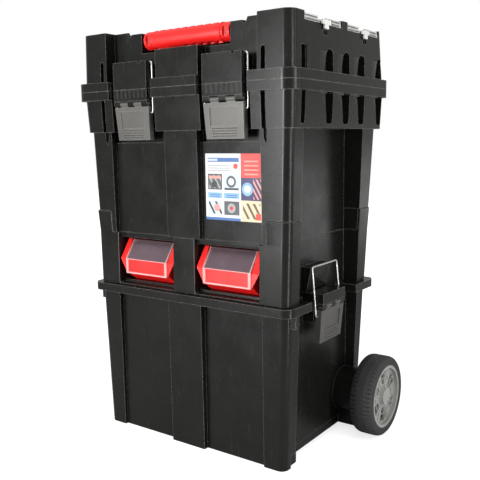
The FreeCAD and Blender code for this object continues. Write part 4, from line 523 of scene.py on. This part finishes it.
def adopt(obj, body, slot_name, material, *replaced):
    """Give a piece its finish and the CAD body that it moves with."""
    dress(obj, material)
    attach(obj, body)
    if replaced:
        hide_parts(*replaced)
    return obj


ROUNDED = {
    "tub": 1.8, "bins_module": 1.5,
    "front_lever_right": 0.7, "front_lever_left": 0.7,
    "side_lever_right": 0.7, "side_lever_left": 0.7,
    "bin_right": 0.9, "bin_left": 0.9,
    "wheel_rim_right": 0.8, "wheel_rim_left": 0.8, "pull_grip": 1.6,
    "tool_tray": 0.8, "lower_tube_bracket": 0.8, "upper_tube_bracket": 0.8,
}
for name in nodes:
    dress(nodes[name], finish_of(name))
for name, width in ROUNDED.items():
    moulded_copy(name, width)


# Details that the CAD leaves plain

SIDES = (("right", 1), ("left", -1))


def sided(sign, inner, outer, near, far, low, high):
    """Low and high corner of a block on the right side (sign 1) or the left (sign -1)."""
    xs = sorted((sign * inner, sign * outer))
    return (xs[0], near, low), (xs[1], far, high)


def boxes(bm, *spans):
    """Add blocks, each given by its low and high corner in millimetres."""
    for low, high in spans:
        middle = Vector([(a + b) / 2 * MM for a, b in zip(low, high)])
        size = [(b - a) * MM for a, b in zip(low, high)]
        made = bmesh.ops.create_cube(bm, size=1.0)["verts"]
        bmesh.ops.scale(bm, vec=size, verts=made)
        bmesh.ops.translate(bm, vec=middle, verts=made)


# How far in (outside the face where negative) and how far along each corner lies
HOLLOW_PLAN = ((-1.0, 0.0), (-1.0, 1.0), (1.0, 1.0), (0.48, 0.78), (0.18, 0.5),
               (0.04, 0.22), (0.0, 0.0))


def wedge(bm, outside, near, far, low, high, depth_low, depth_high):
    """Add an upright hollow that starts at a side face and curves in, in millimetres."""
    sign = 1 if outside > 0 else -1
    rings = []
    for level, depth in ((low, depth_low), (high, depth_high)):
        ring = []
        for reach, along in HOLLOW_PLAN:
            inward = reach if reach < 0 else reach * depth
            place = Vector((outside - sign * inward, near + along * (far - near), level))
            ring.append(bm.verts.new(place * MM))
        rings.append(ring)
    sides = [rings[0], rings[1]]
    for step in range(len(rings[0])):
        after = (step + 1) % len(rings[0])
        sides.append([rings[0][step], rings[0][after], rings[1][after], rings[1][step]])
    bmesh.ops.recalc_face_normals(bm, faces=[bm.faces.new(side) for side in sides])


def piece_of(name, bm, width, segments, turn=None):
    """An object made of a bmesh, turned and moved by a matrix, with its edges rounded."""
    if turn is not None:
        bmesh.ops.transform(bm, matrix=turn, verts=bm.verts)
    obj = linked(name, bm)
    bevelled(obj, width, segments)
    return shaded(applied(obj))


def carved(name, width, spans, segments=2, ramps=()):
    """A rounded copy of a node with blocks and upright hollows cut out of it."""
    obj = linked(name + "_carved", clean_copy(name))
    tool_mesh = bmesh.new()
    boxes(tool_mesh, *spans)
    for ramp in ramps:
        wedge(tool_mesh, *ramp)
    tool = linked("cutter", tool_mesh)
    cutting = obj.modifiers.new("cut", "BOOLEAN")
    cutting.object = tool
    cutting.solver = "EXACT"
    applied(obj)
    bpy.data.objects.remove(tool)
    bevelled(obj, width, segments)
    shaded(applied(obj))
    return adopt(obj, BODY_OF[name], SLOT_OF[name], finish_of(name), name)


def second_finish(obj, material, chosen):
    """Give the faces that a test picks, by centre in mm and normal, another material."""
    obj.data.materials.append(material)
    index = len(obj.data.materials) - 1
    for face in obj.data.polygons:
        if chosen(face.center / MM, face.normal):
            face.material_index = index


def sliced(bm, places):
    """Split faces along planes, each an axis and a place in millimetres."""
    for axis, place in places:
        point = Vector((0, 0, 0))
        normal = Vector((0, 0, 0))
        point[axis] = place * MM
        normal[axis] = 1
        parts = bm.verts[:] + bm.edges[:] + bm.faces[:]
        bmesh.ops.bisect_plane(bm, geom=parts, plane_co=point, plane_no=normal, dist=1e-7)


def bin_lid(name, middle):
    """Clear lid: a grey sloping pane, a see-through front and milky edges."""
    bm = clean_copy(name)
    front = min(v.co.y for v in bm.verts) / MM
    faces = [v.co for v in bm.verts if v.co.y / MM < front + 0.5]
    half = max(abs(v.x / MM - middle) for v in faces)
    low = min(v.z for v in faces) / MM
    high = max(v.z for v in faces) / MM
    edge = half - 4.0
    sill, head, end = low + 2.4, high - 1.2, half - 1.6
    sliced(bm, [(0, middle - edge), (0, middle + edge), (0, middle - end), (0, middle + end),
                (2, sill), (2, head)])
    obj = linked(name + "_pane", bm)
    bevelled(obj, 0.4, 1, 40)
    shaded(applied(obj))
    adopt(obj, BODY_OF[name], "clear_plastic", PANE, name)
    second_finish(obj, MILKY, lambda c, n: c.z < high + 0.8 or abs(c.x - middle) > end - 0.1)
    second_finish(obj, WINDOW, lambda c, n: abs(n.y) > 0.9 and sill < c.z < head
                  and abs(c.x - middle) < edge)


PANE = clear_moulded("bin_lid_pane", shade(100, 84, 92), 0.66, 0.2)
MILKY = clear_moulded("bin_lid_edge", shade(246, 188, 186), 0.56, 0.3)
WINDOW = clear_moulded("bin_lid_window", shade(255, 60, 54), 0.06, 0.15)
BIN_MIDDLE = 79
for side, sign in SIDES:
    bin_lid("bin_lid_" + side, sign * BIN_MIDDLE)


# Organiser lids: pale frames with darker windows in their outer edge, and the clips

FRAME = clear_moulded("organiser_frame", shade(206, 206, 204), 0.86, 0.3)
DARK_PANE = clear_moulded("organiser_pane", shade(116, 116, 114), 0.8, 0.2)
CLIP = moulded("clip_plastic", shade(218, 218, 216), shade(246, 246, 244), 0.36, edge_wear_and_highlight=0.4)
ORGANISERS = [(end, side, sign) for end in ("front", "rear") for side, sign in SIDES]
ORGANISER_SIDE = 193.0


def organiser_lid(name, sign):
    """A lid with recessed panes in its outer edge and its top."""
    low, high = [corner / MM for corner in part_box(name)]
    middle = (low.y + high.y) / 2
    recess, sunk = ORGANISER_SIDE - 1.5, high.z - 0.8
    foot, head = low.z + 1.2, high.z - 1.3
    spans = []
    for start, stop in ((low.y + 5, middle - 12), (middle + 12, high.y - 5)):
        spans.append(sided(sign, recess, ORGANISER_SIDE + 1, start, stop, foot, head))
        spans.append(sided(sign, 102, ORGANISER_SIDE - 8, start, stop, sunk, high.z + 1))
    obj = carved(name, 0.35, spans, 1)
    dress(obj, FRAME)
    second_finish(obj, DARK_PANE, lambda c, n: (abs(abs(c.x) - recess) < 0.4 and abs(n.x) > 0.9)
                  or (abs(c.z - sunk) < 0.3 and n.z > 0.9))


for end, side, sign in ORGANISERS:
    organiser_lid("organiser_lid_%s_%s" % (end, side), sign)
    dress(moulded_copy("organiser_clip_%s_%s" % (end, side), 0.5), CLIP)


# Carry handle: end slots with a darker red back face as painted shade, and pockets along its upper
# and lower edge

# Darker red on the back face of each end slot: painted shade in the slot
SLOT_SHADE_RED = moulded("red_slot_painted_shade", shade(176, 14, 14), shade(220, 60, 56), 0.45, edge_wear_and_highlight=0.1)
SLOT_BACK = -131.8
POCKET_PITCH = 14.5
grip_cuts = [sided(sign, 68.5, 77.2, -138, SLOT_BACK, 617.5, 632) for sign in (1, -1)]
for middle in [step * POCKET_PITCH for step in range(-4, 5)]:
    grip_cuts.append(((middle - 4, -130, 636.2), (middle + 4, -116, 641)))
for middle in [step * POCKET_PITCH for step in (-4, 0, 1, 2, 3, 4)]:
    grip_cuts.append(((middle - 4.5, -135, 606), (middle + 4.5, -124, 613.2)))
grip = carved("carry_handle", 0.8, grip_cuts)
second_finish(grip, SLOT_SHADE_RED, lambda c, n: abs(c.y - SLOT_BACK) < 0.2 and 618 < c.z < 632
              and abs(n.y) > 0.9)


# Latch levers: grooves at the foot, filled with dark grey blocks as painted shade, with the
# lever's own lean

# Dark grey in the lever grooves: painted shade
GROOVE_SHADE = moulded("lever_groove_plastic", shade(44, 43, 41), shade(80, 79, 76), 0.5, edge_wear_and_highlight=0.1)
LEVER_LEAN = 4.9
LEVER_LENGTH = 54.5
LEVER_X = 87
FRONT_HINGE = (LEVER_X, -158.5, 529.3)
SIDE_HINGE = (193, -39, 230)
GROOVE_PITCH = 3.6


def lever_pose(place, sign):
    """Where a lever hangs: its hinge, given for the right, and its lean."""
    x, y, z = FRONT_HINGE if place == "front" else SIDE_HINGE
    quarter = Matrix.Rotation(math.radians(0 if place == "front" else 90 * sign), 4, "Z")
    lean = Matrix.Rotation(math.radians(LEVER_LEAN), 4, "X")
    return Matrix.Translation(Vector((sign * x, y, z)) * MM) @ quarter @ lean


for place in ("front", "side"):
    for side, sign in SIDES:
        name = "%s_lever_%s" % (place, side)
        bm = bmesh.new()
        for index in range(4):
            low = 2.55 - LEVER_LENGTH + index * GROOVE_PITCH
            boxes(bm, ((-23.2, -1.75, low), (23.2, -0.95, low + 1.7)))
        obj = piece_of(name + "_grooves", bm, 0.15, 1, lever_pose(place, sign))
        adopt(obj, name, "grey_plastic", GROOVE_SHADE)


# Lid and body: notches under the clips, beside the catches and beside the posts, and a hollow
# before each side slot; then posts and ribs on the lid, and fine upright ribs on the catches

SLOT_PLACES = (-53.5, -2.5, 48.5, 113.0)
lid_cuts = []
lid_ramps = []
body_ramps = []
for sign in (1, -1):
    for near, far in ((-74, -60), (50, 64)):
        lid_cuts.append(sided(sign, 192.6, 199, near, far, 615, 622))
    catch = sign * LEVER_X
    lid_cuts.append(((catch + 17, -165, 589.0), (catch + 23, -154, 593)))
    lid_cuts.append(sided(sign, 104.5, 111.0, -142, -125, 632.4, 641))
    for place in SLOT_PLACES:
        lid_ramps.append((sign * 195.7, place - 27, place - 9, 566.5, 592, 3.6, 0.5))
        body_ramps.append((sign * 196.3, place - 27, place - 9, 498, 536, 1.0, 3.6))
carved("toolbox_lid", 1.6, lid_cuts, ramps=lid_ramps)
carved("toolbox_body", 1.5, [], ramps=body_ramps)


def black_detail(name, body, width, segments, spans):
    """Blocks in black plastic that move with a body."""
    bm = bmesh.new()
    boxes(bm, *spans)
    adopt(piece_of(name, bm, width, segments), body, "black_plastic", BLACK)


black_detail("lid_front_posts", "toolbox_lid", 2.0, 3,
             [sided(sign, 111.5, 141.5, -136.4, -131.5, 622, 639.9) for sign in (1, -1)])
black_detail("lid_side_ribs", "toolbox_lid", 2.2, 4,
             [sided(sign, 194.0, 198.6, -121, -113, 563, 597) for sign in (1, -1)])
rib_starts = [sign * LEVER_X - 28 + index * 8.8 for sign in (1, -1) for index in range(7)]
black_detail("catch_ribs", "toolbox_body", 0.15, 1,
             [((x, -163.25, 538.5), (x + 2.6, -162.0, 549.5)) for x in rib_starts])


# Organiser lids: a raised rim with panes in its outer walls, open where the clip swings

RIM_TOP = 638.4
RIM_PANE = 191.4


def organiser_rim(name, sign):
    """The raised walls of a lid, with a frame around each pane."""
    low, high = [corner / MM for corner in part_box(name)]
    near, far, foot = low.y + 0.6, high.y - 0.6, high.z - 0.6
    middle = (near + far) / 2
    lip = RIM_TOP + 0.2
    walls = []
    for start, stop in ((near, middle - 12.5), (middle + 12.5, far)):
        walls += [(187.5, RIM_PANE, start, stop, foot, RIM_TOP),
                  (187.0, 192.6, start, stop, RIM_TOP - 1.4, lip),
                  (187.0, 192.6, start, stop, foot, foot + 1.3),
                  (187.0, 192.7, start, start + 2.4, foot, lip),
                  (187.0, 192.7, stop - 2.4, stop, foot, lip)]
    walls += [(108.0, 192.0, near, near + 2.2, foot, RIM_TOP),
              (108.0, 192.0, far - 2.2, far, foot, RIM_TOP),
              (176.0, 178.4, near, far, foot, RIM_TOP - 0.6),
              (108.0, 110.4, near, far, foot, RIM_TOP - 0.6)]
    bm = bmesh.new()
    boxes(bm, *[sided(sign, *wall) for wall in walls])
    obj = piece_of(name + "_rim", bm, 0.3, 1)
    adopt(obj, name, "clear_plastic", FRAME)
    second_finish(obj, DARK_PANE, lambda c, n: abs(abs(c.x) - RIM_PANE) < 0.2 and abs(n.x) > 0.9)


for end, side, sign in ORGANISERS:
    organiser_rim("organiser_lid_%s_%s" % (end, side), sign)


# Tub: the low skirt of its sides, the deep ends of its front foot and the rear housings

wheel_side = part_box("tyre_right")[0].x / MM - 3
tub_mesh = nodes["tub"].data
tub_tree = BVHTree.FromPolygons([v.co for v in tub_mesh.vertices],
                                [p.vertices[:] for p in tub_mesh.polygons])
BESIDE_TUB = Vector((0.3, -0.05, 0.03))
panel = tub_tree.ray_cast(BESIDE_TUB, Vector((-1, 0, 0)))[0].x / MM
SKIRT = ((panel - 4.5, panel - 0.2, -122, 88.5, 7.5, 24),
         (118, 172.6, -131, -108, 1.5, 24),
         (140, wheel_side, 44, 86, 7.5, 44))
black_detail("tub_skirt", "tub", 1.2, 2,
             [sided(sign, *span) for sign in (1, -1) for span in SKIRT])


# Tyres: a tread of two grooves and lugs along both shoulders

AXLE_Y = 59
AXLE_Z = 63.8
TYRE_STEPS = 168
LUG_DEPTH = 2.3
HALF_TREAD = ((0.0, 49.6), (0.0, 57.0), (0.7, 60.2), (2.4, 62.2), (5.0, 63.3), (8.6, 63.7),
              (12.0, 63.75), (12.3, 62.4), (13.7, 62.4), (14.0, 63.75))


def joined(bm, rings):
    """Faces between rings of the same length that go once around an axis."""
    faces = []
    for first, second in zip(rings, rings[1:] + rings[:1]):
        for place in range(len(first)):
            after = (place + 1) % len(first)
            faces.append(bm.faces.new((first[place], first[after], second[after], second[place])))
    bmesh.ops.recalc_face_normals(bm, faces=faces)


def tyre(name):
    """A tyre turned from its section, with a lug at every third step."""
    low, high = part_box(name)
    near, width = low.x / MM, (high.x - low.x) / MM
    profile = list(HALF_TREAD) + [(width - x, radius) for x, radius in reversed(HALF_TREAD)]
    shoulder = {3, 4, 5, len(profile) - 6, len(profile) - 5, len(profile) - 4}
    bm = bmesh.new()
    rings = []
    for step in range(TYRE_STEPS):
        angle = 2 * math.pi * step / TYRE_STEPS
        ring = []
        for place, (x, radius) in enumerate(profile):
            reach = radius - (LUG_DEPTH if place in shoulder and step % 3 == 0 else 0.0)
            ring.append(bm.verts.new(Vector((near + x, AXLE_Y + reach * math.cos(angle),
                                             AXLE_Z + reach * math.sin(angle))) * MM))
        rings.append(ring)
    joined(bm, rings)
    obj = linked(name + "_tread", bm)
    shaded(obj, 40)
    adopt(obj, BODY_OF[name], SLOT_OF[name], RUBBER, name)


for side in ("right", "left"):
    tyre("tyre_" + side)


# Wheel rims: thin ribs and a ring that divide the openings of the discs

RIBS = 14
RIB_LEAN = 5.0
HOOP_STEPS = 64
HOOP_SECTION = ((-1.7, 29.0), (1.7, 29.0), (1.7, 30.2), (-1.7, 30.2))


def rim_ribs(name, sign):
    """Ribs from hub to rim, leaning in turn to either side, and a hoop across them."""
    face = max(sign * v.co.x for v in nodes[name].data.vertices
               if 22 * MM < math.hypot(v.co.y - AXLE_Y * MM, v.co.z - AXLE_Z * MM) < 40 * MM) / MM
    bm = bmesh.new()
    for step in range(RIBS):
        made = bmesh.ops.create_cube(bm, size=1.0)["verts"]
        bmesh.ops.scale(bm, vec=(3.4 * MM, 1.3 * MM, 30 * MM), verts=made)
        bmesh.ops.translate(bm, vec=(0, 0, 29 * MM), verts=made)
        lean = math.radians(360 / RIBS * step + (RIB_LEAN if step % 2 else -RIB_LEAN))
        bmesh.ops.rotate(bm, matrix=Matrix.Rotation(lean, 3, "X"), verts=made)
    rings = []
    for step in range(HOOP_STEPS):
        angle = 2 * math.pi * step / HOOP_STEPS
        rings.append([bm.verts.new(Vector((x, r * math.cos(angle), r * math.sin(angle))) * MM)
                      for x, r in HOOP_SECTION])
    joined(bm, rings)
    turn = Matrix.Translation(Vector((sign * (face - 0.4), AXLE_Y, AXLE_Z)) * MM)
    obj = piece_of(name + "_ribs", bm, 0.3, 1, turn)
    adopt(obj, BODY_OF[name], SLOT_OF[name], finish_of(name))


for side, sign in SIDES:
    rim_ribs("wheel_rim_" + side, sign)


# Label: a generic sheet of coloured fields without words

LABEL_X = 39.0
LABEL_Z = 358.2


def rectangle(tree, across, up, x0, x1, z0, z1):
    """1 inside a rectangle, given in metres."""
    offset = maths(tree, "ABSOLUTE", maths(tree, "SUBTRACT", across, (x0 + x1) / 2))
    height = maths(tree, "ABSOLUTE", maths(tree, "SUBTRACT", up, (z0 + z1) / 2))
    inside = maths(tree, "LESS_THAN", offset, (x1 - x0) / 2)
    return maths(tree, "MULTIPLY", inside, maths(tree, "LESS_THAN", height, (z1 - z0) / 2))


def field(tree, across, up, kind, sizes):
    """1 inside a mark, given in millimetres from the label's lower left corner.

    A circle is (x, z, radius) and a box (low x, high x, low z, high z); bars and slants
    fill a box with stripes of a pitch and a share of it.
    """
    if kind == "circle":
        x, z, radius = [v * MM for v in (sizes[0] + LABEL_X, sizes[1] + LABEL_Z, sizes[2])]
        dx = maths(tree, "SUBTRACT", across, x)
        dz = maths(tree, "SUBTRACT", up, z)
        far = maths(tree, "ADD", maths(tree, "MULTIPLY", dx, dx), maths(tree, "MULTIPLY", dz, dz))
        return maths(tree, "LESS_THAN", far, radius * radius)
    x0, x1, z0, z1 = [v * MM for v in (sizes[0] + LABEL_X, sizes[1] + LABEL_X,
                                       sizes[2] + LABEL_Z, sizes[3] + LABEL_Z)]
    box = rectangle(tree, across, up, x0, x1, z0, z1)
    if kind == "box":
        return box
    pitch, share = sizes[4:]
    if kind == "bars":
        along = maths(tree, "SUBTRACT", up, z0)
    else:
        along = maths(tree, "ADD", across, maths(tree, "MULTIPLY", up, 0.6))
    wave = maths(tree, "FRACT", maths(tree, "DIVIDE", along, pitch * MM))
    return maths(tree, "MULTIPLY", box, maths(tree, "LESS_THAN", wave, share))


def label_material():
    """Print in fields that lie over each other in their order, with a little dust."""
    material, tree, shader, place = new_material("printed_label")
    white, pale = shade(216, 218, 222), shade(186, 198, 214)
    blue, sky, navy = shade(48, 96, 160), shade(120, 166, 206), shade(30, 30, 84)
    red, pink, dark = shade(214, 44, 34), shade(216, 140, 132), shade(34, 36, 40)
    slate, silver, beige = shade(66, 72, 74), shade(150, 154, 158), shade(204, 192, 160)
    brown, cream = shade(96, 64, 42), shade(220, 212, 192)
    marks = [
        ("box", (63, 99, 0, 96), cream), ("box", (63, 99, 62, 96), red),
        ("bars", (69, 93, 66, 90, 6.0, 0.34), pink),
        ("box", (63, 99, 30, 62), navy), ("circle", (74, 46, 9.5), sky),
        ("circle", (74, 46, 5.5), cream), ("slant", (84, 99, 32, 60, 7.0, 0.45), pink),
        ("box", (63, 99, 0, 30), beige), ("slant", (66, 96, 4, 26, 11.0, 0.4), brown),
        ("box", (88, 97, 3, 12), red), ("box", (4, 60, 84, 90), blue),
        ("box", (4, 22, 85.5, 88.5), pale), ("circle", (54, 78, 4), red),
        ("bars", (5, 44, 71, 80, 3.4, 0.42), silver),
        ("box", (4, 30, 44, 67), slate), ("slant", (6, 28, 46, 65, 9.0, 0.35), silver),
        ("box", (6, 28, 60, 64), pink), ("circle", (16, 52, 5), dark),
        ("box", (33, 60, 44, 67), pale), ("circle", (46, 56, 8.5), slate),
        ("circle", (46, 56, 5), white), ("box", (34, 59, 44, 47), dark),
        ("box", (4, 30, 32, 40), sky), ("box", (33, 60, 32, 40), sky),
        ("bars", (8, 26, 33, 39, 3.0, 0.4), blue), ("bars", (37, 56, 33, 39, 3.0, 0.4), blue),
        ("box", (4, 30, 8, 28), pale), ("slant", (5, 29, 9, 27, 13.0, 0.3), dark),
        ("circle", (20, 18, 5.5), pink), ("box", (33, 60, 8, 28), slate),
        ("circle", (46, 18, 7), silver), ("circle", (46, 18, 3), red),
        ("box", (0, 62, 0, 4), blue),
    ]
    parts = tree.nodes.new("ShaderNodeSeparateXYZ")
    tree.links.new(place, parts.inputs[0])
    across, up = parts.outputs[0], parts.outputs[2]
    colour = white
    for kind, sizes, paint in marks:
        colour = blend_colour(tree, field(tree, across, up, kind, sizes), colour, paint)
    dust = remap(tree, noise(tree, place, 60, 4, 0.6), 0.55, 0.75, 0.0, 0.12)
    dusty = blend_colour(tree, dust, colour, shade(170, 170, 166))
    tree.links.new(dusty, shader.inputs["Base Color"])
    gloss = remap(tree, noise(tree, place, 40, 3, 0.5), 0.3, 0.7, 0.36, 0.5)
    tree.links.new(gloss, shader.inputs["Roughness"])
    bumped(tree, shader, noise(tree, place, 300, 2, 0.5), 0.3, 0.00003)
    return material


dress(nodes["label"], label_material())
